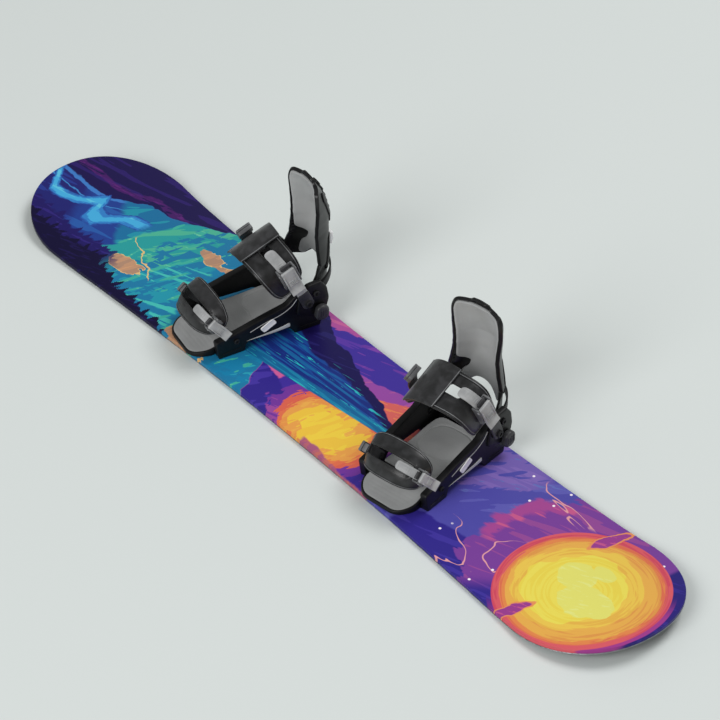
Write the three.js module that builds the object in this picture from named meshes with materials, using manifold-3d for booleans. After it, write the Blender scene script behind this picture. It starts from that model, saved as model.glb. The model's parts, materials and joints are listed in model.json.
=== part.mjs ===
// Snowboard with a pair of strap bindings. Millimetres, +Z up.
// The origin is the centre of the flat running base. +X runs along the board to the tail,
// +Y points to the heel edge, and z = 0 is the surface that the base lies on.
import * as THREE from 'three';
import { mergeVertices } from 'three/addons/utils/BufferGeometryUtils.js';
import { TessellateModifier } from 'three/addons/modifiers/TessellateModifier.js';
import Module from 'manifold-3d';

const wasm = await Module();
wasm.setup();

// Driving dimensions
const GAP = 0.3; // between pieces that touch
const BOARD = {
  length: 1550,
  waist: 250,
  contact: 617, // from the centre to the widest point of nose and tail
  widest: 291.5,
  thickness: 9,
  kickStart: 530,
  kickRise: 28.7,
  tipRoundness: 2.13, // exponent of the tip's superellipse
};
const LAYERS = { base: 1.4, coreTop: 7.9, edgeWidth: 2.2, sidewall: 6 };
const STANCE = 483; // between the binding centres
const DUCK_ANGLE = 10; // each binding's toes point this many degrees outwards
const RAIL = { inner: 58, outer: 71 };
const WING = { inner: 64, outer: 75 };
const FOOTBED = { bottom: 6.6, top: 21 };
const HIGHBACK_PIVOT = { y: 95, z: 74 };
const ANKLE_BOLT = { y: 78, z: 62 };
const TOE_BOLT = { y: -56, z: 27 };
const ANKLE_LEAN = 22; // degrees that the ankle strap tips up towards the heel
const BOLT_RADIUS = 3;

// ---- Materials ----
const finish = (color, roughness, metalness = 0) =>
  new THREE.MeshStandardMaterial({ color, roughness, metalness });
const blackPlastic = finish(0x0d0d0e, 0.4);
const darkStrap = finish(0x2b2b2c, 0.5);
const greyFoam = finish(0x808080, 0.8);
const lightGrey = finish(0x9c9c9c, 0.45);
const whitePlastic = finish(0xe8e8e8, 0.4);
const paleWood = finish(0xb58d5c, 0.6);
const steel = finish(0x8f9296, 0.3, 1);

// ---- Solids ----
function merge(geometry) {
  const bare = geometry.clone();
  bare.deleteAttribute('normal');
  bare.deleteAttribute('uv');
  return mergeVertices(bare, 1e-4);
}

function toManifold(geometry) {
  const merged = merge(geometry);
  return new wasm.Manifold(new wasm.Mesh({
    numProp: 3,
    vertProperties: new Float32Array(merged.attributes.position.array),
    triVerts: new Uint32Array(merged.index.array),
  }));
}

function toGeometry(manifold) {
  const mesh = manifold.getMesh();
  const geometry = new THREE.BufferGeometry();
  geometry.setAttribute('position', new THREE.BufferAttribute(mesh.vertProperties, 3));
  geometry.setIndex(new THREE.BufferAttribute(mesh.triVerts, 1));
  return geometry;
}

const join = (first, ...others) =>
  toGeometry(others.reduce((body, other) => body.add(toManifold(other)), toManifold(first)));
const cut = (first, ...tools) =>
  toGeometry(tools.reduce((body, tool) => body.subtract(toManifold(tool)), toManifold(first)));

function block(x0, x1, y0, y1, z0, z1) {
  const geometry = new THREE.BoxGeometry(x1 - x0, y1 - y0, z1 - z0);
  return geometry.translate((x0 + x1) / 2, (y0 + y1) / 2, (z0 + z1) / 2);
}

// A cylinder along X between x0 and x1.
function crossRod(radius, x0, x1, y, z, sides = 12) {
  const geometry = new THREE.CylinderGeometry(radius, radius, x1 - x0, sides);
  return geometry.rotateZ(Math.PI / 2).translate((x0 + x1) / 2, y, z);
}

// An outline through [x, y] corners, each rounded by the common radius or by its own third value.
function rounded(corners, radius) {
  const shape = new THREE.Shape();
  const count = corners.length;
  corners.forEach(([x, y, ownRadius], i) => {
    const corner = new THREE.Vector2(x, y);
    const back = new THREE.Vector2(...corners[(i + count - 1) % count]).sub(corner);
    const ahead = new THREE.Vector2(...corners[(i + 1) % count]).sub(corner);
    const reach = Math.min(ownRadius ?? radius, back.length() * 0.49, ahead.length() * 0.49);
    const start = corner.clone().add(back.setLength(reach));
    const end = corner.clone().add(ahead.setLength(reach));
    if (i === 0) shape.moveTo(start.x, start.y);
    else shape.lineTo(start.x, start.y);
    shape.quadraticCurveTo(x, y, end.x, end.y);
  });
  shape.closePath();
  return shape;
}

function extrude(outline, depth, curveSegments = 2) {
  return new THREE.ExtrudeGeometry(outline, { depth, steps: 1, bevelEnabled: false, curveSegments });
}

// Turns an outline drawn in (y, z) into a plate that spans x0 to x1.
function sidePlate(outline, x0, x1) {
  const geometry = extrude(outline, x1 - x0);
  const drawnToSide = new THREE.Matrix4().makeBasis(
    new THREE.Vector3(0, 1, 0),
    new THREE.Vector3(0, 0, 1),
    new THREE.Vector3(1, 0, 0),
  );
  return geometry.applyMatrix4(drawnToSide).translate(x0, 0, 0);
}

// A flat blank of the given outline, laid on surface(u, v) and thickened from low to high
// along the surface's normal. step is the longest triangle edge of the blank.
function moulded(outline, surface, low, high, step) {
  const blank = merge(new TessellateModifier(step, 14).modify(extrude(outline, 1)));
  const position = blank.attributes.position;
  const nudge = 0.05;
  for (let i = 0; i < position.count; i += 1) {
    const [u, v, side] = [position.getX(i), position.getY(i), position.getZ(i)];
    const along = surface(u + nudge, v).sub(surface(u - nudge, v));
    const across = surface(u, v + nudge).sub(surface(u, v - nudge));
    const normal = along.cross(across).normalize();
    const point = surface(u, v).addScaledVector(normal, side > 0.5 ? high : low);
    position.setXYZ(i, point.x, point.y, point.z);
  }
  return toGeometry(toManifold(blank));
}

function piece(parent, name, geometry, material) {
  const mesh = new THREE.Mesh(geometry, material);
  mesh.name = name;
  parent.add(mesh);
  return mesh;
}

// ---- Board ----
const rise = (x) =>
  BOARD.kickRise * Math.max(0, (Math.abs(x) - BOARD.kickStart) / (BOARD.length / 2 - BOARD.kickStart)) ** 2;

// [x, half width] along the board from nose to tail, drawn inset from the true outline.
function boardStations(inset) {
  const { contact, waist, widest, length, tipRoundness } = BOARD;
  const sidecut = (x) => waist / 2 + ((widest - waist) / 2) * (x / contact) ** 2 - inset;
  const tip = [];
  const tipSteps = 10;
  for (let i = 1; i <= tipSteps; i += 1) {
    const angle = (Math.PI / 2) * (i / tipSteps);
    const x = contact + (length / 2 - contact - inset) * Math.sin(angle) ** (2 / tipRoundness);
    const half = (widest / 2 - inset) * Math.max(0, Math.cos(angle)) ** (2 / tipRoundness);
    tip.push([x, i === tipSteps ? 0 : half]);
  }
  const middle = [0, 130, 260, 390, BOARD.kickStart, 575, contact].map((x) => [x, sidecut(x)]);
  const half = [...middle, ...tip];
  return [...half.slice(1).reverse().map(([x, w]) => [-x, w]), ...half];
}

// One full-size layer of the board between two heights.
function boardLayer(inset, low, high) {
  const stations = boardStations(inset);
  const vertices = [];
  stations.forEach(([x, half]) => {
    [[-half, low], [half, low], [half, high], [-half, high]].forEach(([y, z]) => {
      vertices.push(x, y, z + rise(x));
    });
  });
  const faces = [];
  for (let i = 0; i + 1 < stations.length; i += 1) {
    for (let side = 0; side < 4; side += 1) {
      const [a, b] = [i * 4 + side, i * 4 + ((side + 1) % 4)];
      faces.push(a, b, b + 4, a, b + 4, a + 4);
    }
  }
  const last = (stations.length - 1) * 4;
  faces.push(0, 2, 1, 0, 3, 2, last, last + 1, last + 2, last, last + 2, last + 3);
  const geometry = new THREE.BufferGeometry();
  geometry.setAttribute('position', new THREE.Float32BufferAttribute(vertices, 3));
  geometry.setIndex(faces);
  return toGeometry(toManifold(geometry));
}

function addBoard(parent) {
  const { base, coreTop, edgeWidth, sidewall } = LAYERS;
  const ring = (width, low, high) => cut(boardLayer(0, low, high), boardLayer(width, low - 1, high + 1));
  piece(parent, 'steel_edge', ring(edgeWidth, 0, base), steel);
  piece(parent, 'board_base', boardLayer(edgeWidth + GAP, 0, base), blackPlastic);
  piece(parent, 'sidewall', ring(sidewall, base + GAP, coreTop), blackPlastic);
  piece(parent, 'board_core', boardLayer(sidewall + GAP, base + GAP, coreTop), paleWood);
  piece(parent, 'topsheet', boardLayer(0.6, coreTop + GAP, BOARD.thickness), finish(0x5a3a9c, 0.35));
}

// ---- Binding chassis, in the binding's own frame: origin on the topsheet at the disc's centre ----
const discRadius = 48;

function chassis() {
  const railOutline = rounded([
    [-89, GAP, 2], [-95, 36, 5], [-58, 42, 12], [-5, 55, 20], [42, 64.5, 14], [54, 76, 10],
    [84, 91, 10], [105, 89, 8], [115, 68, 8], [111, 21.5, 10], [105, GAP, 2], [56, GAP, 2],
    [47, 15.6, 10], [16, 16.4, 20], [-36, 18.7, 10], [-41, GAP, 2],
  ], 4);
  const wingOutline = rounded([
    [58, 40, 8], [64, 78, 6], [80, 94, 3], [105, 96, 3],
    [117, 80, 4], [121, 56, 5], [115, 34, 6], [90, 28, 10],
  ], 6);
  const rail = (x0, x1) => sidePlate(railOutline, x0, x1);
  const wing = (x0, x1) => sidePlate(wingOutline, x0, x1);
  const wingRelief = (x0, x1) => block(x0, x1, 66, 140, 31, 120);
  const solid = join(
    rail(RAIL.inner, RAIL.outer), rail(-RAIL.outer, -RAIL.inner),
    wing(WING.inner, WING.outer), wing(-WING.outer, -WING.inner),
    block(-60, 60, -89, -66, GAP, 6.3),
    block(-46, 46, -75, 90, GAP, 6.3),
    block(-60, 60, 62, 104, GAP, 6.3),
    block(-60, 60, 96, 104, 5, 27),
  );
  const discHole = new THREE.CylinderGeometry(discRadius + GAP, discRadius + GAP, 30, 40)
    .rotateX(Math.PI / 2);
  return cut(
    solid,
    discHole,
    wingRelief(50, WING.inner), wingRelief(-WING.inner, -50),
    crossRod(BOLT_RADIUS + GAP, -100, 100, HIGHBACK_PIVOT.y, HIGHBACK_PIVOT.z),
    crossRod(BOLT_RADIUS + GAP, -100, 100, ANKLE_BOLT.y, ANKLE_BOLT.z),
    crossRod(BOLT_RADIUS + GAP, -100, 100, TOE_BOLT.y, TOE_BOLT.z),
  );
}

function disc() {
  const plate = new THREE.CylinderGeometry(discRadius, discRadius, 5, 40).rotateX(Math.PI / 2);
  const slots = [-1, 1].map((side) => block(side * 20 - 3, side * 20 + 3, -26, 26, -10, 10));
  return cut(plate.translate(0, 0, GAP + 2.5), ...slots);
}

function footbed() {
  const outline = rounded([
    [-50, -56, 6], [50, -56, 6], [53, -20, 20], [53, 60, 20],
    [49, 90, 24], [-49, 90, 24], [-52, 60, 20], [-48, 0, 30],
  ], 8);
  return extrude(outline, FOOTBED.top - FOOTBED.bottom).translate(0, 0, FOOTBED.bottom);
}

// The ramp's top falls from the footbed's height at the rear to its low front lip.
function toeRamp() {
  const outline = rounded([
    [-52.5, -57, 2], [-56, -104, 14], [-36, -129, 26], [38, -131, 26], [56, -104, 14], [52.5, -57, 2],
  ], 6);
  const blank = extrude(outline, 22, 6).translate(0, 0, 1);
  const slope = rounded([[-60, 21], [-40, 21], [-40, 40], [-150, 40], [-150, 3.5]], 0.5);
  const above = sidePlate(slope, -80, 80);
  return cut(blank, above, block(-70, 70, -91, -40, -1, FOOTBED.bottom));
}

// ---- Heel hoop: a band bent round the heel and rising to the back ----
function hoopPoint(angle, height, out) {
  const reach = (value) => Math.sign(value) * Math.abs(value) ** 0.7;
  const [side, back] = [reach(Math.sin(angle)), Math.max(0, reach(Math.cos(angle)))];
  const half = THREE.MathUtils.lerp(16, 8.5, back);
  const middle = THREE.MathUtils.lerp(68, 101, back ** 1.5);
  return new THREE.Vector3((58.6 + out) * side, 99 + (46 + out) * back, middle + half * height);
}

function heelHoop() {
  const turns = 22;
  const section = [[-0.9, 0.6], [-1, 2.3], [-0.9, 4], [0.9, 4], [1, 2.3], [0.9, 0.6]];
  const vertices = [];
  for (let i = 0; i <= turns; i += 1) {
    const angle = Math.PI * (i / turns - 0.5);
    section.forEach(([height, out]) => vertices.push(...hoopPoint(angle, height, out + 1).toArray()));
  }
  const count = section.length;
  const faces = [];
  for (let i = 0; i < turns; i += 1) {
    for (let k = 0; k < count; k += 1) {
      const [a, b] = [i * count + k, i * count + ((k + 1) % count)];
      faces.push(a, b, b + count, a, b + count, a + count);
    }
  }
  for (let k = 1; k + 1 < count; k += 1) {
    faces.push(0, k + 1, k);
    faces.push(turns * count, turns * count + k, turns * count + k + 1);
  }
  const geometry = new THREE.BufferGeometry();
  geometry.setAttribute('position', new THREE.Float32BufferAttribute(vertices, 3));
  geometry.setIndex(faces);
  return toGeometry(toManifold(geometry));
}

// ---- Highback: a curved shell behind the calf, drawn in (x, z) and bowed to the rear ----

// Straight-line interpolation between [height, value] stations.
const profile = (stations) => (height) => {
  const next = Math.max(1, stations.findIndex(([z]) => z >= height));
  const upper = stations.at(stations.at(-1)[0] < height ? -1 : next);
  const lower = stations[stations.indexOf(upper) - 1];
  return THREE.MathUtils.mapLinear(height, lower[0], upper[0], lower[1], upper[1]);
};
const highbackHalfWidth = profile([
  [60, 59.2], [113, 59.2], [140, 53], [166, 49.5], [183, 50.5], [216, 55], [236, 55], [280, 50],
]);
const highbackFront = profile([[60, 92], [86, 98], [112, 112], [280, 112]]);
const highbackRear = profile([
  [60, 139], [100, 143], [125, 149], [155, 154], [190, 155],
  [227, 145], [241, 139], [262, 126], [280, 114],
]);
const highbackBow = profile([[60, 6], [110, 4], [150, 2.8], [280, 2.4]]);

function highbackSurface(x, z) {
  const share = Math.abs(x / highbackHalfWidth(z)) ** highbackBow(z);
  const front = highbackFront(z);
  return new THREE.Vector3(x, front + (highbackRear(z) - front) * (1 - share), z);
}

const mirrored = (rightHalf) =>
  [...rightHalf, ...rightHalf.slice().reverse().map(([x, z, radius]) => [-x, z, radius])];

function highbackShell() {
  const outline = rounded(mirrored([
    [14, 268, 5], [22, 259, 5], [47, 257, 8], [53.5, 240, 10], [53.5, 216, 12],
    [49.5, 183, 14], [48.5, 166, 12], [52, 140, 12], [58.4, 113, 8],
    [58.4, 70, 3], [40, 70, 10], [18, 91, 14], [6, 96, 6],
  ]), 8);
  const shell = moulded(outline, highbackSurface, 0, 4, 16);
  const boss = (x0, x1) => crossRod(9, x0, x1, HIGHBACK_PIVOT.y + 1, HIGHBACK_PIVOT.z, 20);
  const pinHole = crossRod(BOLT_RADIUS + GAP, -80, 80, HIGHBACK_PIVOT.y, HIGHBACK_PIVOT.z);
  return cut(join(shell, boss(51.5, 59.2), boss(-59.2, -51.5)), pinHole);
}

function highbackPad() {
  const outline = rounded(mirrored([
    [20, 256, 4], [44.5, 253.5, 8], [50, 238, 10], [50, 216, 12], [46, 188, 14],
    [44, 162, 10], [45, 131, 6], [29, 121, 4], [31, 110, 4], [44, 101, 6],
    [43, 80, 8], [36, 78, 8], [16, 95, 12], [6, 99, 6],
  ]), 8);
  return moulded(outline, highbackSurface, 5.4, 10.2, 34);
}

function leanAdjuster() {
  return join(block(-9, 9, 155.4, 166.5, 111, 136), block(-9, 9, 148.3, 156, 110.2, 114));
}

// A headed pin through a side wall. sign is +1 on the +X side and -1 on the other.
function sidePin(place, sign, inner, headFrom, headRadius, flangeRadius) {
  const at = (radius, from, to) => {
    const [x0, x1] = [from * sign, to * sign].sort((a, b) => a - b);
    return crossRod(radius, x0, x1, place.y, place.z, 10);
  };
  return join(
    at(BOLT_RADIUS, inner, headFrom + 1),
    at(headRadius, headFrom, headFrom + 3),
    at(flangeRadius, inner - 2.5, inner),
  );
}

// ---- Curved strap runs ----

// A run of strap in a plane that holds the X axis and leans by the given angle. [x, height]
// stations give its centre line, and surface(across, along) is drawn in millimetres.
function strapRun(anchor, heightDirection, stations) {
  const path = new THREE.CatmullRomCurve3(stations.map(([x, height]) => new THREE.Vector3(x, 0, height)));
  path.arcLengthDivisions = 400;
  const up = new THREE.Vector3(0, heightDirection.y, heightDirection.z).normalize();
  const across = new THREE.Vector3(0, up.z, -up.y);
  const length = path.getLength();
  const surface = (sideways, along) => {
    const point = path.getPointAt(THREE.MathUtils.clamp(along / length, 0, 1));
    return new THREE.Vector3(point.x, anchor.y, anchor.z)
      .addScaledVector(up, point.z)
      .addScaledVector(across, sideways);
  };
  return { surface, length, up, across, anchor };
}

// Places a small part drawn with X across the strap, Y up along it and Z outwards.
function onStrap(run, geometry, x, height, sideways, tilt) {
  const outwards = new THREE.Vector3(Math.cos(tilt), 0, 0).addScaledVector(run.up, Math.sin(tilt));
  const upwards = new THREE.Vector3(-Math.sin(tilt), 0, 0).addScaledVector(run.up, Math.cos(tilt));
  const frame = new THREE.Matrix4().makeBasis(run.across, upwards, outwards);
  const origin = new THREE.Vector3(x, run.anchor.y, run.anchor.z)
    .addScaledVector(run.up, height)
    .addScaledVector(run.across, sideways);
  return geometry.applyMatrix4(frame.setPosition(origin));
}

const lean = THREE.MathUtils.degToRad(ANKLE_LEAN);
const ankleUp = { y: -Math.sin(lean), z: Math.cos(lean) };
const toeUp = { y: -0.65, z: 0.76 };

const ankleArch = strapRun(ANKLE_BOLT, ankleUp, [
  [58, 20], [68, 38], [71, 58], [65, 90], [50, 103], [20, 107],
  [-20, 102], [-46, 83], [-60, 57], [-65, 30], [-62, 14],
]);
const ankleLadderRun = strapRun(ANKLE_BOLT, ankleUp, [
  [77.2, -10], [78, 25], [77, 50], [72.2, 88], [57, 111], [40, 119],
]);
const ankleFarRun = strapRun(ANKLE_BOLT, ankleUp, [
  [-58, 87], [-67, 72], [-75, 48], [-78.5, 20], [-77.5, -10],
]);
const toeLadderRun = strapRun(TOE_BOLT, toeUp, [
  [54.2, -6], [54.2, 8], [54.3, 18], [56.1, 27.5], [64.8, 38], [61.7, 51],
  [53.7, 63], [42, 70.5], [30, 74], [18, 76],
]);

// ---- Ankle strap ----
function anklePad() {
  const outline = rounded([
    [-18, 10, 5], [-34, 12, 8], [-46, 36, 20], [-53, 80, 30], [-55, 128, 30],
    [-57, 200, 20], [-48, 236, 14], [-24, 262, 10], [8, 256, 12], [24, 225, 20],
    [25, 190, 30], [21, 128, 30], [22, 72, 20], [18, 42, 10], [4, 30, 8],
  ], 10);
  outline.holes.push(rounded([[-2, 100], [-2, 148], [-23, 148], [-23, 100]], 8));
  return moulded(outline, ankleArch.surface, -6, 0, 28);
}

function ankleBand() {
  const outline = rounded([[-57, 128], [-60, 204], [29, 204], [24, 128]], 5);
  return moulded(outline, ankleArch.surface, 1.3, 3.8, 22);
}

function ankleLadder() {
  const outline = rounded([
    [-10, 0.5, 10], [-12, 60, 30], [-23, 144, 9], [-3, 144, 9], [8, 60, 30], [10, 0.5, 10],
  ], 9);
  const strip = moulded(outline, ankleLadderRun.surface, 0, 2.6, 18);
  return cut(strip, crossRod(BOLT_RADIUS + GAP, 60, 100, ANKLE_BOLT.y, ANKLE_BOLT.z));
}

function ankleFarStrap() {
  const outline = rounded([
    [-26, 1], [-24, 50, 20], [-10, 94, 9], [-10, 100, 9],
    [10, 100, 9], [10, 88, 20], [-2, 50, 20], [-1, 1],
  ], 6);
  const strap = moulded(outline, ankleFarRun.surface, 0, 3, 18);
  const slider = onStrap(ankleFarRun, block(-14, 14, -11, 11, -5, 7), -64.5, 86, -13, Math.PI * 0.82);
  return cut(join(strap, slider), crossRod(BOLT_RADIUS + GAP, -100, -60, ANKLE_BOLT.y, ANKLE_BOLT.z));
}

// A ratchet buckle's base: a floor under the ladder and two cheeks that carry the lever's pin.
function buckleBase({ halfWidth, wall, from, to, floor, height, pin }) {
  const outer = halfWidth + wall;
  const cheekOutline = rounded([
    [from, floor[0], 2], [from + 4, height * 0.7, 4],
    [pin.along - 5, height, 3], [pin.along + 6, height, 4], [to, floor[0], 2],
  ], 3);
  const cheek = (x) => sidePlate(cheekOutline, x, x + wall);
  const pinHole = crossRod(pin.radius + GAP, -outer - 2, outer + 2, pin.along, pin.out, 12);
  const plate = block(-outer, outer, from, to, floor[0], floor[1]);
  return cut(join(plate, cheek(-outer), cheek(halfWidth)), pinHole);
}

// The lever that presses on the ladder, from its pin down to a free lip that stands out a little.
function buckleLever({ halfWidth, wall, length, thickness, pin }) {
  const outline = rounded([
    [3.4, -3.2, 3], [3.4, 3.4, 3], [-4, 3.2, 2], [-length * 0.75, 1.2, 4], [-length, 4.5, 1.5],
    [-length - 1.5, 4.5 - thickness, 1.5], [-length * 0.75, 1.2 - thickness, 4], [-4, -2.4, 2],
  ], 2);
  const reach = halfWidth - 0.6;
  return join(
    sidePlate(outline, -reach, reach),
    crossRod(pin.radius, -halfWidth - wall, halfWidth + wall, 0, 0, 12),
  );
}

const ankleBuckle = {
  halfWidth: 13.2, wall: 3, from: -21, to: 22, floor: [1.5, 3], height: 16, length: 46, thickness: 2.4,
  pin: { along: 14, out: 13.2, radius: 1.8 },
};
const toeBuckle = {
  halfWidth: 9.4, wall: 2.6, from: -9, to: 14, floor: [1.1, 2.5], height: 17.2, length: 38, thickness: 2.2,
  pin: { along: 7.5, out: 14.6, radius: 1.6 },
};
const ankleBucklePlace = [68.6, 74, -5.5, 0.185];
const toeBucklePlace = [55.6, 49.6, 0, 0.52];
// Radians that a lever hangs steeper than its buckle.
const ankleLeverDroop = 0.02;
const toeLeverDroop = 0.24;

function leverOn(run, buckle, place, droop) {
  const lever = buckleLever(buckle).rotateX(droop).translate(0, buckle.pin.along, buckle.pin.out);
  return onStrap(run, lever, ...place);
}

// ---- Toe strap: two bands over the toe that meet at both ends ----
const toeHalfWidth = { low: 55.5, high: 63.2 };

// rise is the angle in degrees from the toe's front up to its top, along runs from the +X end.
function toeSurface(angle, along) {
  const turn = (Math.PI * along) / 220;
  const squared = (value) => Math.sign(value) * Math.abs(value) ** 0.74;
  const [side, middle] = [squared(Math.cos(turn)), Math.abs(squared(Math.sin(turn)))];
  const share = (angle - 8) / 80;
  const tilt = THREE.MathUtils.degToRad(angle);
  const end = { y: THREE.MathUtils.lerp(-84, -62, share), z: THREE.MathUtils.lerp(38, 56, share) };
  const top = { y: -62 - 58 * Math.cos(tilt), z: 42 + 54 * Math.sin(tilt) };
  return new THREE.Vector3(
    THREE.MathUtils.lerp(toeHalfWidth.low, toeHalfWidth.high, share) * side,
    THREE.MathUtils.lerp(end.y, top.y, middle),
    THREE.MathUtils.lerp(end.z, top.z, middle),
  );
}

function toeStrap() {
  const outline = rounded([
    [66, 5, 8], [30, 5, 8], [12, 18, 10], [8, 60, 30], [8, 160, 30], [12, 202, 10],
    [30, 215, 8], [66, 215, 8], [84, 202, 10], [88, 160, 30], [88, 60, 30], [84, 18, 10],
  ], 8);
  outline.holes.push(rounded([[58, 174], [37, 174], [37, 60], [58, 60]], 7));
  const bands = moulded(outline, toeSurface, -4.5, 0, 28);
  const farTab = onStrap(toeLadderRun, block(-8, 8, -30, 22, -1.5, 1.5), -55.9, 22, 0, 0);
  return cut(join(bands, farTab), crossRod(BOLT_RADIUS + GAP, -70, -40, TOE_BOLT.y, TOE_BOLT.z));
}

function toeLadder() {
  const end = toeLadderRun.length - 0.5;
  const outline = rounded([[-7.5, 0.5, 7], [-7.5, end, 6], [7.5, end, 6], [7.5, 0.5, 7]], 7);
  const strip = moulded(outline, toeLadderRun.surface, 0, 2.4, 15);
  return cut(strip, crossRod(BOLT_RADIUS + GAP, 40, 80, TOE_BOLT.y, TOE_BOLT.z));
}

// ---- Small outer pieces ----
function badge(x0) {
  const outline = rounded([[-12, 37], [-4, 26], [21, 39], [13, 50]], 4);
  return sidePlate(outline, x0, x0 + 2.2);
}

function heelKnob() {
  const outline = rounded([[89, 26], [92, 48], [103, 52], [115, 46], [115, 25], [102, 20]], 8);
  return sidePlate(outline, WING.outer + 0.4, WING.outer + 12);
}

function addBinding(parent, prefix, x, angle) {
  const binding = new THREE.Group();
  binding.position.set(x, 0, BOARD.thickness);
  binding.rotation.z = THREE.MathUtils.degToRad(angle);
  parent.add(binding);
  const add = (name, geometry, material) => piece(binding, `${prefix}_${name}`, geometry, material);

  add('chassis', chassis(), blackPlastic);
  add('disc', disc(), blackPlastic);
  add('footbed', footbed(), greyFoam);
  add('toe_ramp', toeRamp(), greyFoam);
  add('heel_hoop', heelHoop(), blackPlastic);
  add('highback_shell', highbackShell(), blackPlastic);
  add('highback_pad', highbackPad(), greyFoam);
  add('lean_adjuster', leanAdjuster(), whitePlastic);
  add('ankle_pad', anklePad(), darkStrap);
  add('ankle_band', ankleBand(), darkStrap);
  add('ankle_far_strap', ankleFarStrap(), darkStrap);
  add('ankle_ladder', ankleLadder(), lightGrey);
  add('ankle_buckle', onStrap(ankleArch, buckleBase(ankleBuckle), ...ankleBucklePlace), darkStrap);
  add('ankle_lever', leverOn(ankleArch, ankleBuckle, ankleBucklePlace, ankleLeverDroop), lightGrey);
  add('toe_strap', toeStrap(), darkStrap);
  add('toe_ladder', toeLadder(), lightGrey);
  add('toe_buckle', onStrap(toeLadderRun, buckleBase(toeBuckle), ...toeBucklePlace), darkStrap);
  add('toe_lever', leverOn(toeLadderRun, toeBuckle, toeBucklePlace, toeLeverDroop), lightGrey);
  add('heel_knob', heelKnob(), finish(0x4a4a4b, 0.5));

  [['near', 1], ['far', -1]].forEach(([side, sign]) => {
    add(`highback_pin_${side}`, sidePin(HIGHBACK_PIVOT, sign, 51, WING.outer + 0.4, 6, 5.5), blackPlastic);
    add(`ankle_bolt_${side}`, sidePin(ANKLE_BOLT, sign, 63.6, 82, 7, 6), blackPlastic);
    add(`toe_bolt_${side}`, sidePin(TOE_BOLT, sign, 53.8, RAIL.outer + GAP, 5, 5.5), blackPlastic);
    add(`badge_${side}`, badge(sign > 0 ? RAIL.outer + GAP : -RAIL.outer - GAP - 2.2), whitePlastic);
  });
}

const snowboard = new THREE.Group();
addBoard(snowboard);
addBinding(snowboard, 'front', -STANCE / 2, -DUCK_ANGLE);
addBinding(snowboard, 'rear', STANCE / 2, DUCK_ANGLE);
export default snowboard;
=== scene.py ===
"""The looks of a snowboard with a pair of strap bindings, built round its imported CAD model.

Each binding is drawn once in its own frame, in millimetres: the origin is on the topsheet at the
disc's centre, X is to the tail, Y to the heel and Z up. The pieces are then placed in the row
frame, in metres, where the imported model's joints put each binding.
"""
import math

import bmesh
import bpy
import numpy as np
from mathutils import Matrix, Vector
from mathutils.geometry import delaunay_2d_cdt
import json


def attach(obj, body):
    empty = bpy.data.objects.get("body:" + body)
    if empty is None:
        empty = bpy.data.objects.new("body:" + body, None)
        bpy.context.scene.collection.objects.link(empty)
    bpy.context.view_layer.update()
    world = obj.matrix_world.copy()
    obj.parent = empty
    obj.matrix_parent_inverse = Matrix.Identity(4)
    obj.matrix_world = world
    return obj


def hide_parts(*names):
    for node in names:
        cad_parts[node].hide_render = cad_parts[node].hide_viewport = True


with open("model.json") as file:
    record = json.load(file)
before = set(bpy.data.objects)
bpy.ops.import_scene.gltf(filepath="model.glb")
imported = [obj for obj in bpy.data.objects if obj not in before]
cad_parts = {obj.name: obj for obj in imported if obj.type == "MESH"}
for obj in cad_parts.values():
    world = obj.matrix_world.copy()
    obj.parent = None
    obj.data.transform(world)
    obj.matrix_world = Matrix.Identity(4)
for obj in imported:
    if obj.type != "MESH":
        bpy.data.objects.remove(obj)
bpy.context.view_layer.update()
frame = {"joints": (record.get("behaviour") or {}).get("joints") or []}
MM = 0.001
JOINTS = {joint["name"]: joint for joint in frame["joints"]}

# Driving sizes, in millimetres and degrees, as the CAD model has them
GAP = 0.3
BOARD_LENGTH, BOARD_WAIST, BOARD_WIDEST = 1550, 250, 291.5
CONTACT, KICK_START, KICK_RISE, TIP_ROUNDNESS = 617, 530, 28.7, 2.13
BOARD_TOP, BASE_TOP, CORE_TOP = 9, 1.4, 7.9
HIGHBACK_PIVOT = (95, 74)
ANKLE_BOLT = (78, 62)
TOE_BOLT = (-56, 27)
BOLT_HOLE = 3.3
SHELL_THICKNESS = 4
ANKLE_LEAN = math.radians(22)
NUDGE = 0.05  # the step for slopes on a surface


# ---- Camera, floor and light ----
def add_camera():
    azimuth, elevation, distance = math.radians(50.61), math.radians(39.67), 5.455
    back = Vector((
        math.sin(azimuth) * math.cos(elevation),
        -math.cos(azimuth) * math.cos(elevation),
        math.sin(elevation),
    ))
    data = bpy.data.cameras.new("camera")
    data.lens = 161.15
    data.sensor_width = 36
    camera = bpy.data.objects.new("camera", data)
    camera.location = Vector((-0.04475, 0.08957, 0)) + back * distance
    camera.rotation_mode = "QUATERNION"
    camera.rotation_quaternion = (-back).to_track_quat("-Z", "Y")
    bpy.context.scene.collection.objects.link(camera)
    bpy.context.scene.camera = camera


def add_floor(material):
    half = 30
    mesh = bpy.data.meshes.new("floor")
    corners = [(-half, -half, 0), (half, -half, 0), (half, half, 0), (-half, half, 0)]
    mesh.from_pydata(corners, [], [(0, 1, 2, 3)])
    floor = bpy.data.objects.new("floor", mesh)
    floor.data.materials.append(material)
    bpy.context.scene.collection.objects.link(floor)


def add_area_light(name, place, size, power):
    data = bpy.data.lights.new(name, "AREA")
    data.shape = "DISK"
    data.size = size
    data.energy = power
    light = bpy.data.objects.new(name, data)
    light.location = place
    light.rotation_mode = "QUATERNION"
    light.rotation_quaternion = (-Vector(place)).to_track_quat("-Z", "Y")
    bpy.context.scene.collection.objects.link(light)


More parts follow.
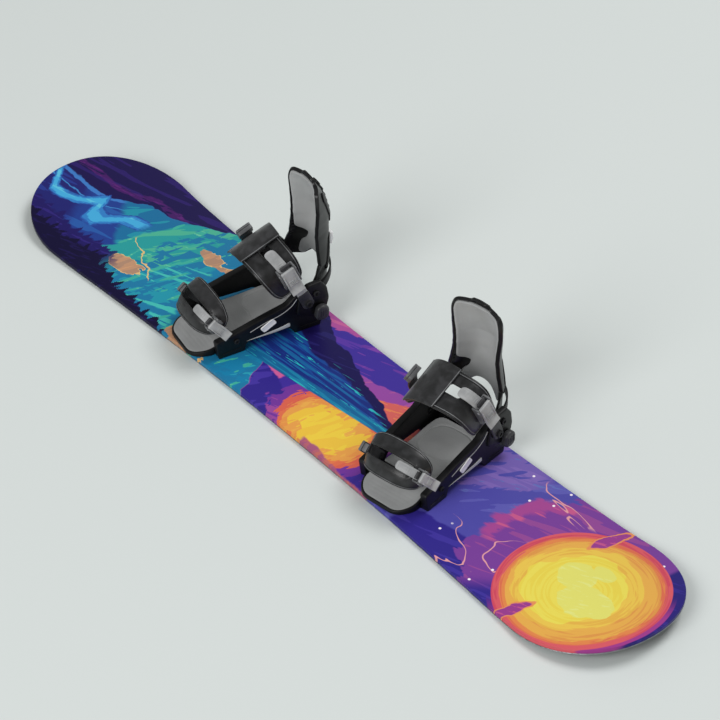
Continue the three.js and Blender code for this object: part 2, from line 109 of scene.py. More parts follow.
def add_light():
    world = bpy.data.worlds.new("soft_sky")
    world.use_nodes = True
    sky = world.node_tree.nodes["Background"]
    sky.inputs["Color"].default_value = (0.95, 0.97, 0.965, 1)
    sky.inputs["Strength"].default_value = 0.335
    bpy.context.scene.world = world
    add_area_light("key", (0.6, 4.2, 6.5), 4.0, 281)
    add_area_light("fill", (1.5, -6.0, 4.2), 4.0, 271)
    bpy.context.scene.view_settings.view_transform = "Standard"


# ---- Shader builder: arithmetic on values makes Math nodes ----
def rgb(code):
    """A six-digit sRGB code as a linear colour."""
    channels = [int(code[i:i + 2], 16) / 255 for i in (0, 2, 4)]
    linear = [c / 12.92 if c <= 0.04045 else ((c + 0.055) / 1.055) ** 2.4 for c in channels]
    return (*linear, 1)


class Value:
    """A socket of one number that can be added, multiplied and compared."""

    def __init__(self, shader, socket):
        self.shader, self.socket = shader, socket

    def math(self, operation, other=None):
        return self.shader.math(operation, self, other)

    def __add__(self, other):
        return self.math("ADD", other)

    def __sub__(self, other):
        return self.math("SUBTRACT", other)

    def __mul__(self, other):
        return self.math("MULTIPLY", other)

    def __truediv__(self, other):
        return self.math("DIVIDE", other)

    def abs(self):
        return self.math("ABSOLUTE")

    def over(self, edge, soft=1.0):
        """0 below the edge, 1 above it, with a smooth step of the given width."""
        return self.shader.ramp(self - edge, -soft / 2, soft / 2)

    def under(self, edge, soft=1.0):
        return self.shader.ramp(self - edge, soft / 2, -soft / 2)


class Shader:
    def __init__(self, name):
        self.material = bpy.data.materials.new(name)
        self.material.use_nodes = True
        self.tree = self.material.node_tree
        self.surface = self.tree.nodes["Principled BSDF"]
        self.place = self.node("ShaderNodeTexCoord").outputs["Object"]

    def node(self, kind, **settings):
        node = self.tree.nodes.new(kind)
        for name, value in settings.items():
            setattr(node, name, value)
        return node

    def feed(self, socket, value):
        if isinstance(value, Value):
            value = value.socket
        if isinstance(value, bpy.types.NodeSocket):
            self.tree.links.new(value, socket)
        elif value is not None:
            socket.default_value = value

    def math(self, operation, *values):
        node = self.node("ShaderNodeMath", operation=operation)
        for socket, value in zip(node.inputs, values):
            self.feed(socket, value)
        return Value(self, node.outputs[0])

    def ramp(self, value, low, high):
        node = self.node("ShaderNodeMapRange", interpolation_type="SMOOTHSTEP")
        self.feed(node.inputs["Value"], value)
        if low < high:
            node.inputs["From Min"].default_value, node.inputs["From Max"].default_value = low, high
        else:
            node.inputs["From Min"].default_value, node.inputs["From Max"].default_value = high, low
            node.inputs["To Min"].default_value, node.inputs["To Max"].default_value = 1, 0
        return Value(self, node.outputs["Result"])

    def axes(self, vector=None):
        node = self.node("ShaderNodeSeparateXYZ")
        self.feed(node.inputs[0], self.place if vector is None else vector)
        return [Value(self, socket) for socket in node.outputs]

    def vector(self, x, y, z=0.0):
        node = self.node("ShaderNodeCombineXYZ")
        for socket, value in zip(node.inputs, (x, y, z)):
            self.feed(socket, value)
        return node.outputs[0]

    def noise(self, scale, detail=2.0, vector=None, distortion=0.0):
        node = self.node("ShaderNodeTexNoise")
        self.feed(node.inputs["Vector"], self.place if vector is None else vector)
        node.inputs["Scale"].default_value = scale
        node.inputs["Detail"].default_value = detail
        node.inputs["Distortion"].default_value = distortion
        return Value(self, node.outputs[0])

    def cells(self, scale, vector=None, dimensions="3D"):
        node = self.node("ShaderNodeTexVoronoi", voronoi_dimensions=dimensions)
        self.feed(node.inputs["Vector"], self.place if vector is None else vector)
        node.inputs["Scale"].default_value = scale
        return node

    def mix(self, share, low, high):
        node = self.node("ShaderNodeMix", data_type="RGBA")
        self.feed(node.inputs[0], share)
        self.feed(node.inputs[6], low)
        self.feed(node.inputs[7], high)
        return node.outputs[2]

    def bump(self, height, strength, distance):
        node = self.node("ShaderNodeBump")
        node.inputs["Strength"].default_value = strength
        node.inputs["Distance"].default_value = distance
        self.feed(node.inputs["Height"], height)
        return node.outputs[0]

    def finish(self, color, roughness, normal=None, **settings):
        self.feed(self.surface.inputs["Base Color"], color)
        self.feed(self.surface.inputs["Roughness"], roughness)
        self.feed(self.surface.inputs["Normal"], normal)
        for name, value in settings.items():
            self.surface.inputs[name.replace("_", " ")].default_value = value
        return self.material


# ---- Materials ----
def plastic(name, code, light_code, roughness, shine=0.5):
    """Moulded plastic: a fine spark-eroded grain, cloudy gloss and paler worn edges."""
    shader = Shader(name)
    cloud = shader.noise(35, 3)
    speck = shader.noise(900, 2)
    worn = shader.node("ShaderNodeNewGeometry").outputs["Pointiness"]
    rim = Value(shader, worn).over(0.56, 0.1)
    color = shader.mix(cloud.over(0.5, 0.5), rgb(code), rgb(light_code))
    color = shader.mix(rim * 0.45, color, rgb(light_code))
    gloss = cloud * 0.14 + (roughness - 0.07)
    return shader.finish(color, gloss, shader.bump(speck, 0.5, 0.00004), Specular_IOR_Level=shine)


def leather(name, code, light_code, roughness):
    """Coated strap fabric: pebbled grain over slow folds, with a painted highlight that makes the colour
    lighter where the folds rise.
    """
    shader = Shader(name)
    pebble = Value(shader, shader.cells(720).outputs["Distance"])
    fold_and_painted_highlight = shader.noise(55, 3, distortion=0.6)
    # Painted highlight: the fabric is painted lighter on the raised crests of the folds.
    color = shader.mix(fold_and_painted_highlight.over(0.52, 0.35), rgb(code), rgb(light_code))
    color = shader.mix(pebble.under(0.28, 0.2) * 0.25, color, rgb(light_code))
    height = pebble * 0.7 + fold_and_painted_highlight * 1.6
    return shader.finish(
        color, fold_and_painted_highlight * 0.2 + (roughness - 0.1), shader.bump(height, 0.35, 0.00025),
        Sheen_Weight=0.12, Sheen_Roughness=0.4,
    )


def foam(name, code, light_code):
    """Closed-cell foam: small pits, pale specks and a soft, dusty surface."""
    shader = Shader(name)
    pits = Value(shader, shader.cells(1100).outputs["Distance"])
    cloud = shader.noise(22, 3)
    speck = shader.noise(700, 3)
    color = shader.mix(cloud.over(0.5, 0.5), rgb(code), rgb(light_code))
    color = shader.mix(speck.over(0.62, 0.06) * 0.35, color, rgb(light_code))
    height = pits * 0.6 + speck * 0.6
    return shader.finish(color, 0.78, shader.bump(height, 0.4, 0.0002), Sheen_Weight=0.1)


def metal(name, code, roughness, stretch):
    """Ground steel with fine scratches along the given axis scales."""
    shader = Shader(name)
    x, y, z = shader.axes()
    grind = shader.noise(60, 4, vector=shader.vector(x * stretch[0], y * stretch[1], z * stretch[2]))
    color = shader.mix(grind.over(0.5, 0.4), rgb(code), rgb("c8cacd"))
    rough = grind * 0.25 + (roughness - 0.1)
    return shader.finish(color, rough, shader.bump(grind, 0.25, 0.00005), Metallic=1.0)


def wood():
    """Pale strips laid side by side along the board."""
    shader = Shader("laminated_wood")
    x, y, z = shader.axes()
    strip = (y * 55).math("FRACT").under(0.06, 0.03)
    grain = shader.noise(40, 4, vector=shader.vector(x * 1.5, y * 30, z * 30), distortion=0.4)
    color = shader.mix(grain.over(0.5, 0.4), rgb("b58c58"), rgb("d8b988"))
    color = shader.mix(strip * 0.6, color, rgb("7d5a33"))
    return shader.finish(color, 0.6, shader.bump(grain, 0.2, 0.0002))


def sintered_base():
    """Dark running base with a fine lengthwise stone-ground structure."""
    shader = Shader("sintered_base")
    x, y, z = shader.axes()
    structure = shader.noise(120, 3, vector=shader.vector(x * 0.6, y * 12, z))
    color = shader.mix(structure.over(0.5, 0.3), rgb("141416"), rgb("26262a"))
    return shader.finish(color, structure * 0.2 + 0.25, shader.bump(structure, 0.3, 0.0001))


def floor_paint():
    shader = Shader("pale_floor")
    cloud = shader.noise(1.2, 2)
    color = shader.mix(cloud, rgb("dbe0de"), rgb("d9dfdd"))
    return shader.finish(color, 0.9, Specular_IOR_Level=0.1)


def landscape():
    """The topsheet's printed picture: a night valley at the nose, a lake and dusk clouds in the
    middle and a low sun at the tail. Distances in it are millimetres along and across the board."""
    shader = Shader("topsheet_landscape")
    x, y, _ = [axis * (1 / MM) for axis in shader.axes()]
    wander = shader.noise(9, 4)
    flutter = shader.noise(32, 3)
    ragged = shader.noise(75, 2)

    def strokes(along, across, scale, levels):
        """Brush marks: noise stretched along a direction and cut into flat levels."""
        slanted = shader.vector(x * along[0] + y * along[1], x * across[0] + y * across[1])
        mark = shader.noise(scale, 2, vector=slanted, distortion=0.3)
        return (mark * levels).math("FLOOR") / levels

    def line(points, coordinate):
        """Height over the board's length, through [x, y] stations, as a sum of smooth steps."""
        total = shader.math("ADD", points[0][1], 0)
        for (x0, y0), (x1, y1) in zip(points, points[1:]):
            node = shader.node("ShaderNodeMapRange")
            shader.feed(node.inputs["Value"], coordinate)
            node.inputs["From Min"].default_value, node.inputs["From Max"].default_value = x0, x1
            node.inputs["To Min"].default_value, node.inputs["To Max"].default_value = 0, y1 - y0
            total = total + Value(shader, node.outputs["Result"])
        return total

    def paint(mask, colour):
        nonlocal picture
        picture = shader.mix(mask, picture, colour)

    def tone(mark, dark, light, threshold=0.5, soft=0.12):
        return shader.mix(mark.over(threshold, soft), rgb(dark), rgb(light))

    warp = (wander - 0.5) * 60 + (flutter - 0.5) * 26
    wx = x + warp
    wy = y + warp * 0.5 + (ragged - 0.5) * 7
    long_marks = strokes((0.0035, 0.0012), (-0.01, 0.03), 1.9, 7)
    slant_marks = strokes((0.003, 0.005), (0.022, -0.014), 1.7, 7)
    fine_marks = strokes((0.012, 0.004), (-0.03, 0.07), 2.2, 5)
    cross_marks = strokes((0.001, 0.007), (0.032, -0.006), 2.0, 8)

    def span(across, along):
        """The length of the vector (across, along)."""
        return (across * across + along * along).math("SQRT")

    def patch(place, size):
        """A brushed blot: its ragged distance from the centre, 1 at the rim."""
        return span((wx - place[0]) / size[0], (wy - place[1]) / size[1]) + (cross_marks - 0.5) * 0.5

    # The sky behind everything, from the night side at the nose to the dusk at the tail.
    picture = tone(long_marks, "1c124c", "2c1c66", 0.5, 0.1)
    paint(long_marks.over(0.6, 0.02) * y.over(28, 30) * x.over(-690, 60), rgb("4d2070"))

    ribbon = line([(-760, 34), (-654, 56), (-601, 84), (-491, 84), (-470, 84)], x)
    paint((wy - ribbon).abs().under(7, 3) * fine_marks.over(0.4, 0.05), rgb("5c2274"))

    # Blue slope below the night sky, then teal and green hills.
    slope_top = line([(-770, -4), (-663, 12), (-611, 56), (-542, 74), (-438, 128), (-300, 150)], x)
    below = (slope_top - wy + 6).over(0, 3)
    paint(below, tone(long_marks, "23256f", "293a8c"))
    paint(below * (wx + y * 0.5).over(-700, 30), tone(long_marks, "24408f", "2a5aa6", 0.5, 0.03))
    paint(below * (slope_top - wy).under(3, 1.5), rgb("3f7ac4"))
    paint(below * (slope_top - wy - 24 + (wander - 0.5) * 30).abs().under(1.4, 1), rgb("3f86c8"))
    paint(below * (wx + y * 0.9).over(-612, 20), tone(slant_marks, "1d6f9e", "2490a8", 0.5, 0.03))
    paint(below * (wx - y * 0.35).over(-548, 8), tone(slant_marks, "2a9c9c", "4db395", 0.45, 0.03))
    paint(below * (wx - y * 0.7).over(-446, 8), tone(long_marks, "2596ab", "45bdb4", 0.55, 0.03))
    paint(below * (wx + y * 0.4).over(-372, 8), tone(slant_marks, "1c80ab", "2fa3b6", 0.5, 0.03))
    paint(below * wx.over(-560, 6) * cross_marks.over(0.6, 0.02), tone(fine_marks, "3fae9c", "6cc6a0"))
    paint(below * wx.over(-500, 6) * (cross_marks * 0.5 + long_marks * 0.5).under(0.42, 0.02), rgb("2079a4"))

    # Warm fields among the hills, each with a bright rim.
    for place, size in (((-498, -68), (30, 13)), ((-408, 62), (38, 15)), ((-270, -118), (40, 16))):
        field = patch(place, size) + (flutter - 0.5) * 2.2 + (ragged - 0.5) * 0.8
        paint(below * field.under(1.1, 0.03), tone(cross_marks, "b08a72", "d29c74", 0.5, 0.05))
        paint(below * (field - 1.12).abs().under(0.05, 0.04) * (wander - 0.48).over(0, 0.02), rgb("ecc07a"))
    ridge = (x * 0.6 + y + (wander - 0.5) * 130 + (flutter - 0.5) * 40 + 330).abs().under(1.6, 1)
    paint(below * ridge * wx.over(-545, 8) * wx.under(-440, 8), rgb("e6c27c"))

    # The river winds down the nose in broad strokes.
    course = line([
        (-780, -6), (-762, -22), (-742, -48), (-716, -44), (-690, -28), (-668, 4), (-652, -30), (-630, -34),
        (-600, 8), (-566, 20),
    ], x + (flutter - 0.5) * 16)
    river_width = line([(-780, 6), (-742, 9), (-700, 8), (-655, 21), (-610, 17), (-560, 12)], x)
    away = (y + (wander - 0.5) * 14 - course).abs() + (fine_marks - 0.5) * 12
    reach = x.over(-772, 6) * (x + (flutter - 0.5) * 40).under(-560, 14)
    paint((away - river_width * 1.25).under(0, 2) * reach, tone(fine_marks, "2a4f9e", "2f66b4", 0.5, 0.05))
    paint((away - river_width).under(0, 2) * reach, tone(fine_marks, "347ec4", "3f9ad6", 0.5, 0.05))
    paint((away - river_width * 0.5).under(0, 2) * reach, tone(long_marks, "46abdc", "5cc0e0", 0.5, 0.05))

    # Fir forest along the toe edge, as spires with ragged boughs.
    tree_x = x + (wander - 0.5) * 70
    spire = ((tree_x * 0.041).math("FRACT") - 0.5).abs() * 2
    second = ((tree_x * 0.083 + y * 0.004).math("FRACT") - 0.5).abs() * 2
    bough = ((x * 0.3 + y * 0.16 + flutter * 2).math("FRACT") - 0.5).abs()
    tops = line([
        (-755, -130), (-720, -116), (-640, -116), (-590, -106), (-549, -98), (-477, -118),
        (-415, -124), (-330, -130),
        (-300, -150),
    ], x)
    height = tops + spire * 15 + second * 10 - bough * 9 + (flutter - 0.5) * 34 - y
    haze = (height + 26 + (flutter - 0.5) * 20).over(0, 6) * x.under(-520, 60)
    paint(haze, tone(fine_marks, "221a60", "302576"))
    paint(height.over(0, 1.2), tone(fine_marks, "120c34", "1c1449"))

    # Dusk country behind the bindings: violet, with pink and orange banks.
    dusk = (wx + y * 0.55).over(-170, 4)
    paint(dusk, tone(long_marks, "42309a", "5c38a4", 0.5, 0.05))
    heel_bank = dusk * (wy - 18 + (x - 60) * 0.08).over(0, 3) * wx.over(-60, 6)
    paint(heel_bank * long_marks.over(0.52, 0.02), tone(slant_marks, "6a3aa0", "7d44a8"))
    paint(heel_bank * (wy - x * 0.25).under(58, 3), tone(slant_marks, "974aa2", "b0579c"))
    paint(heel_bank * (wx * 0.6 - wy).over(-2, 3), tone(fine_marks, "d8645f", "e68257"))
    wedge = (wy - 92 - (wx + 160) * 0.36 + (cross_marks - 0.5) * 20).over(0, 3) * wx.under(-70, 6)
    paint(dusk * wedge, tone(long_marks, "b0529c", "c8649c"))
    paint(dusk * (wy + 42).under(0, 3) * wx.under(-96, 5), tone(long_marks, "d0609c", "ea86b0"))
    paint(
        dusk * (wy + 66 + (x + 60) * 0.3).under(0, 4) * wx.under(30, 5),
        tone(slant_marks, "34288a", "4636a0"),
    )
    glow = patch((72, -72), (98, 70))
    paint(dusk * glow.under(1.34, 0.03) * wy.under(-16, 4), tone(long_marks, "74389a", "9a4a9c"))
    paint(dusk * glow.under(1.06, 0.02), tone(cross_marks, "dc6450", "e67a4e"))
    paint(dusk * glow.under(0.9, 0.02), tone(cross_marks, "e6944c", "ecac50"))
    paint(dusk * (glow + (cross_marks - 0.5) * 0.9).under(0.56, 0.03), tone(cross_marks, "eec244", "f2d848"))
    paint(
        dusk * (wy + 112 + (x - 70) * 0.1).under(0, 4) * wx.over(60, 10),
        tone(cross_marks, "a85a7c", "c46c66"),
    )

    # The lake: a dark shore, deep blue water and bright glints.
    shore = line([(-330, 190), (-153, 112), (-94, 80), (-61, 77), (0, 50), (73, 33), (150, 2)], x)
    near_bank = line([(-330, -62), (-185, -49), (-80, -38), (14, -26), (150, -10)], x)
    in_lake = (shore - wy + 4).over(0, 2.5) * (y - near_bank + 2).over(0, 3) * (wx - y * 0.3).over(-262, 8)
    in_lake = in_lake * x.under(146, 2)
    streak = shader.noise(2.2, 2, vector=shader.vector(x * 0.004, y * 0.075 - x * 0.004, 2.4), distortion=0.2)
    paint(in_lake, tone(long_marks, "1b1450", "252062"))
    depth = line([(-330, 80), (-180, 62), (-105, 36), (-17, 34), (110, 8), (150, -12)], x)
    paint(in_lake * (depth - wy).over(0, 5), tone(streak, "1a2f7c", "1d4894", 0.5, 0.05))
    paint(in_lake * (depth - 8 - y).over(0, 8) * streak.over(0.56, 0.01), rgb("1c649e"))
    paint(in_lake * (near_bank + 16 - y).over(0, 4), tone(streak, "186496", "1f80a8", 0.5, 0.05))
    glint = shader.noise(1.6, 2, vector=shader.vector(x * 0.011, y * 0.13 - x * 0.01, 4.2), distortion=0.6)
    paint(in_lake * glint.over(0.65, 0.01) * (depth + 6 - y).over(0, 12), rgb("2fb4be"))

    # Evening clouds from the rear binding to the tail.
    evening = (wx + y * 0.35).over(188, 5)
    paint(evening, tone(slant_marks, "504ca6", "5f5cb2", 0.5, 0.04))
    bloom = (wy + 10 + (x - 290) * -0.9 + (cross_marks - 0.5) * 50).over(0, 5) * (x + y * 0.2).under(420, 40)
    paint(evening * bloom * slant_marks.over(0.4, 0.03), tone(long_marks, "7560b0", "8068b6"))
    paint(evening * (slant_marks * 0.5 + fine_marks * 0.5).over(0.56, 0.02) * y.over(-30, 30), rgb("6470ba"))
    paint(
        evening * (wy + 70 - (x - 400) * 0.1).under(0, 6) * wx.over(300, 12),
        tone(long_marks, "33298a", "40349a"),
    )
    mauve = (wx - y * 0.5).under(290, 5) * (wy + 30).under(0, 8)
    paint(evening * mauve, tone(slant_marks, "8c4a9c", "a8589a"))
    halo_x, halo_y = x - 600, y + 2
    halo = (halo_x * halo_x + halo_y * halo_y * 1.25).math("SQRT")
    halo = halo + (wander - 0.5) * 110 + (long_marks - 0.5) * 40
    paint(
        evening * halo.under(190, 4) * (x - y).under(620, 60),
        tone(long_marks, "7a4099", "944a96", 0.5, 0.05),
    )
    cloud = shader.noise(4.2, 3, vector=shader.vector(x * 0.001, y * 0.0024, 7.3), distortion=0.5)
    puff = evening * (halo - 182).abs().under(16, 12) * cloud.over(0.5, 0.01)
    puff = puff * x.over(380, 30) * y.over(-40, 20)
    paint(puff, tone(long_marks, "a64892", "c85a8c"))
    paint(evening * (cloud - 0.5).abs().under(0.004, 0.003) * (halo - 190).abs().under(60, 30), rgb("e6a0a4"))
    paint((x - y * 0.12).over(672, 10) * evening, tone(long_marks, "2a2278", "352a8a"))

    # Stars, then the sun over them.
    sprinkle = shader.cells(24, vector=shader.vector(x * 0.001, y * 0.001), dimensions="2D")
    near_star = Value(shader, sprinkle.outputs["Distance"]).under(0.056, 0.012)
    chance = Value(shader, shader.axes(sprinkle.outputs["Color"])[0].socket)
    edges = y.abs().over(62, 10)
    paint(near_star * chance.over(0.55, 0.01) * x.over(345, 5) * edges, rgb("fff4fb"))
    sun_x, sun_y = x - 622, y + 13
    radius = span(sun_x, sun_y)
    swirl_place = shader.vector(radius * 0.02, sun_x * 0.0012, sun_y * 0.0012)
    swirl = shader.noise(6, 3, vector=swirl_place, distortion=1.2)
    lump = shader.noise(14, 2, vector=shader.vector(x * 0.001, y * 0.001, 3.1))
    brushed = radius + (wander - 0.5) * 9 + (swirl - 0.5) * 26
    paint((radius + (wander - 0.5) * 5).under(149, 1.5) * (sun_x - sun_y).over(60, 90), rgb("a03c8c"))
    paint(radius.under(141, 1.2), tone(swirl, "cf4a60", "da5c66", 0.5, 0.05))
    paint(brushed.under(130, 1.5), tone(swirl, "dd7050", "e4884e", 0.5, 0.05))
    paint((brushed + (swirl - 0.5) * 20).under(120, 1.5), tone(swirl, "e0984c", "e8ae50", 0.45, 0.05))
    paint(
        (brushed + (lump - 0.5) * 40 + sun_x * 0.1).under(100, 1.5),
        tone(swirl, "e6b44c", "ecc652", 0.45, 0.05),
    )
    paint(
        (radius + (lump - 0.5) * 60 + sun_x * 0.12).under(80, 1.5),
        tone(swirl, "ead450", "ecdc5a", 0.5, 0.05),
    )
    for place, size in (((582, 8), (38, 30)), ((648, -28), (50, 36)), ((618, 42), (22, 14))):
        blot = span((x - place[0]) / size[0], (y - place[1]) / size[1])
        blot = blot + (lump - 0.5) * 1.6 + (flutter - 0.5) * 0.5
        paint(blot.under(1, 0.04), tone(fine_marks, "e4e070", "e6e684", 0.5, 0.05))
    for place in ((563, 104), (578, -122)):
        ragged_x = (x - place[0] + (y - place[1]) * -0.25 + (flutter - 0.5) * 22) / 9
        wisp = span(ragged_x, (y - place[1]) / 34)
        paint(wisp.under(1.25, 0.1), rgb("e8935c"))
        paint(wisp.under(1, 0.1), tone(fine_marks, "9a3f8e", "c2568c"))

    grain = shader.noise(1500, 1)
    return shader.finish(
        picture, grain * 0.08 + 0.3, shader.bump(grain, 0.15, 0.00003), Specular_IOR_Level=0.16,
    )


# ---- Outlines ----
def rounded(corners, radius=0.0, arc=6):
    """A closed outline through corners, each rounded by the common radius or its own third value."""
    points = []
    spots = [np.array(corner[:2], float) for corner in corners]
    for i, corner in enumerate(corners):
        here = spots[i]
        back, ahead = spots[i - 1] - here, spots[(i + 1) % len(spots)] - here
        wanted = corner[2] if len(corner) > 2 else radius
        reach = min(wanted, np.linalg.norm(back) * 0.49, np.linalg.norm(ahead) * 0.49)
        start = here + back / np.linalg.norm(back) * reach
        end = here + ahead / np.linalg.norm(ahead) * reach
        for t in np.linspace(0, 1, arc + 1) if reach > 0 else [0]:
            points.append((1 - t) ** 2 * start + 2 * t * (1 - t) * here + t * t * end)
    return np.array(points)


def rectangle(x0, x1, y0, y1):
    return [(x0, y0), (x1, y0), (x1, y1), (x0, y1)]


def circle(radius, step, centre=(0, 0)):
    """A circle with a corner every step degrees."""
    angles = np.radians(np.arange(0, 360, step))
    return np.stack([centre[0] + radius * np.cos(angles), centre[1] + radius * np.sin(angles)], 1)


def mirrored(right_half):
    """The right half of an outline and its mirror image, as one list of corners."""
    return right_half + [(-corner[0], *corner[1:]) for corner in reversed(right_half)]


def densified(loop, step):
    points = []
    for start, end in zip(loop, np.roll(loop, -1, axis=0)):
        count = max(1, math.ceil(np.linalg.norm(end - start) / step))
        points += [start + (end - start) * k / count for k in range(count)]
    keep = [points[0]]
    for point in points[1:]:
        if np.linalg.norm(point - keep[-1]) > 0.05:
            keep.append(point)
    return np.array(keep)


def signed_area(loop):
    ahead = np.roll(loop, -1, axis=0)
    return float(np.sum(loop[:, 0] * ahead[:, 1] - ahead[:, 0] * loop[:, 1])) / 2


def inside(points, loops):
    """Which points are inside the outline and outside its holes."""
    result = np.zeros(len(points), bool)
    px, py = points[:, 0], points[:, 1]
    for loop in loops:
        for (x0, y0), (x1, y1) in zip(loop, np.roll(loop, -1, axis=0)):
            if y0 != y1:
                crosses = (y0 > py) != (y1 > py)
                result ^= crosses & (px < (x1 - x0) * (py - y0) / (y1 - y0) + x0)
    return result


def edge_depth(points, loops):
    """Each point's distance from the nearest edge of the outline and its holes."""
    best = np.full(len(points), 1e9)
    for loop in loops:
        starts, ends = loop, np.roll(loop, -1, axis=0)
        for start, end in zip(starts, ends):
            along = end - start
            share = np.clip(((points - start) @ along) / (along @ along), 0, 1)
            best = np.minimum(best, np.linalg.norm(points - start - share[:, None] * along, axis=1))
    return best


# ---- Solids: (points, faces) in millimetres ----
def filled(loops, step, rings):
    """Fine triangles inside an outline with holes, with extra rows of points near the edge."""
    border = [densified(loop, step) for loop in loops]
    border = [
        loop if (signed_area(loop) > 0) == (i == 0) else loop[::-1]
        for i, loop in enumerate(border)
    ]
    free = []
    for loop in border:
        tangent = np.roll(loop, -1, axis=0) - np.roll(loop, 1, axis=0)
        tangent /= np.linalg.norm(tangent, axis=1)[:, None]
        inwards = np.stack([-tangent[:, 1], tangent[:, 0]], axis=1)
        for ring in rings:
            points = loop + inwards * ring
            free.append(points[(edge_depth(points, border) > ring * 0.9) & inside(points, border)])
    low, high = border[0].min(0), border[0].max(0)
    rows = np.arange(low[1] + step / 2, high[1], step)
    columns = np.arange(low[0] + step / 2, high[0], step)
    grid = np.array([(x + (step / 2 if i % 2 else 0), y) for i, y in enumerate(rows) for x in columns])
    clearance = (rings[-1] if rings else 0) + step * 0.6
    if len(grid):
        grid = grid[inside(grid, border)]
    if len(grid):
        free.append(grid[edge_depth(grid, border) > clearance])
    points = np.concatenate(border + free)
    edges, first = [], 0
    for loop in border:
        count = len(loop)
        edges += [(first + k, first + (k + 1) % count) for k in range(count)]
        first += count
    made = delaunay_2d_cdt([Vector(p) for p in points], edges, [], 0, 1e-5)
    flat = np.array([tuple(v) for v in made[0]])
    triangles = np.array(made[2])
    triangles = triangles[inside(flat[triangles].mean(axis=1), border)]
    a, b, c = (flat[triangles[:, k]] for k in range(3))
    area = (b[:, 0] - a[:, 0]) * (c[:, 1] - a[:, 1]) - (b[:, 1] - a[:, 1]) * (c[:, 0] - a[:, 0])
    triangles[area < 0] = triangles[area < 0][:, ::-1]
    return flat, triangles, edge_depth(flat, border)


def normals(surface, u, v, v_step=NUDGE):
    along = surface(u + NUDGE, v) - surface(u - NUDGE, v)
    across = surface(u, v + v_step) - surface(u, v - v_step)
    normal = np.cross(along, across)
    return normal / np.maximum(np.linalg.norm(normal, axis=1), 1e-9)[:, None]


def raised(surface, spots, lift):
    """The spots (u, v) on the surface, raised along its normal."""
    u, v = spots[:, 0], spots[:, 1]
    return surface(u, v) + normals(surface, u, v) * lift


def fillet(depth, edge):
    """How far a rounded rim of the given radius falls below the face, at a depth inside it."""
    share = 1 - np.clip(depth / edge, 0, 1)
    return edge * (1 - np.sqrt(np.clip(1 - share ** 2, 0, 1)))


def groove(distance, at, width, deep):
    """A soft groove for a relief, deepest where the distance is at its given value."""
    return -deep * np.exp(-((distance - at) / width) ** 2)


def closed_sheet(triangles, top, bottom):
    """The solid between two sheets with the same triangles, walled round every rim."""
    count = len(top)
    faces = [tuple(t) for t in triangles] + [(t[2] + count, t[1] + count, t[0] + count) for t in triangles]
    directed = {(t[k], t[(k + 1) % 3]) for t in triangles for k in range(3)}
    faces += [(b, a, a + count, b + count) for a, b in sorted(directed) if (b, a) not in directed]
    return np.concatenate([top, bottom]), faces


def panel(loops, surface, low, high, step=3.0, edge=0.8, relief=None):
    """A moulded sheet: an outline laid on surface(u, v), thickened from low to high along its
    normal, with rounded rims. relief(u, v, depth) raises the high side."""
    loops = loops if isinstance(loops, list) else [loops]
    edge = min(edge, (high - low) * 0.49)
    flat, triangles, depth = filled(loops, step, [edge * 0.15, edge * 0.5, edge])
    u, v = flat[:, 0], flat[:, 1]
    normal, base, fall = normals(surface, u, v), surface(u, v), fillet(depth, edge)
    top = high - fall + (relief(u, v, depth) if relief else 0)
    return closed_sheet(triangles, base + normal * top[:, None], base + normal * (low + fall)[:, None])


def flat_surface(origin=(0, 0, 0), u_axis=(1, 0, 0), v_axis=(0, 1, 0)):
    base, first, second = (np.array(v, float) for v in (origin, u_axis, v_axis))
    return lambda u, v: base + np.outer(u, first) + np.outer(v, second)


SIDEWAYS = flat_surface(u_axis=(0, 1, 0), v_axis=(0, 0, 1))


def side_plate(loops, x0, x1, **options):
    """A plate drawn in (y, z) that spans x0 to x1."""
    return panel(loops, SIDEWAYS, x0, x1, **options)


def slab(loops, z0, z1, **options):
    """A plate drawn in (x, y) that spans z0 to z1."""
    return panel(loops, flat_surface(), z0, z1, **options)


def block(x0, x1, y0, y1, z0, z1, corner=1.0, edge=0.6):
    return slab(rounded(rectangle(x0, x1, y0, y1), corner, 3), z0, z1, step=8, edge=edge)


def revolved(profile, sides, facets=None):
    """A solid of (radius, x) stations turned round the X axis, closed at both ends. Stations whose
    number is in facets are hexagonal."""
    angles = np.arange(sides) * 2 * math.pi / sides
    points, faces = [], []
    for i, (radius, x) in enumerate(profile):
        shrink = 1.0
        if facets and i in facets:
            shrink = math.cos(math.pi / 6) / np.cos((angles % (math.pi / 3)) - math.pi / 6)
        reach = radius * shrink
        ring = np.stack([np.full(sides, x), reach * np.cos(angles), reach * np.sin(angles)], 1)
        points.append(ring)
    for i in range(len(profile) - 1):
        for k in range(sides):
            a, b = i * sides + k, i * sides + (k + 1) % sides
            faces.append((a, b, b + sides, a + sides))
    faces.append(tuple(range(sides))[::-1])
    faces.append(tuple(range((len(profile) - 1) * sides, len(profile) * sides)))
    return np.concatenate(points), faces


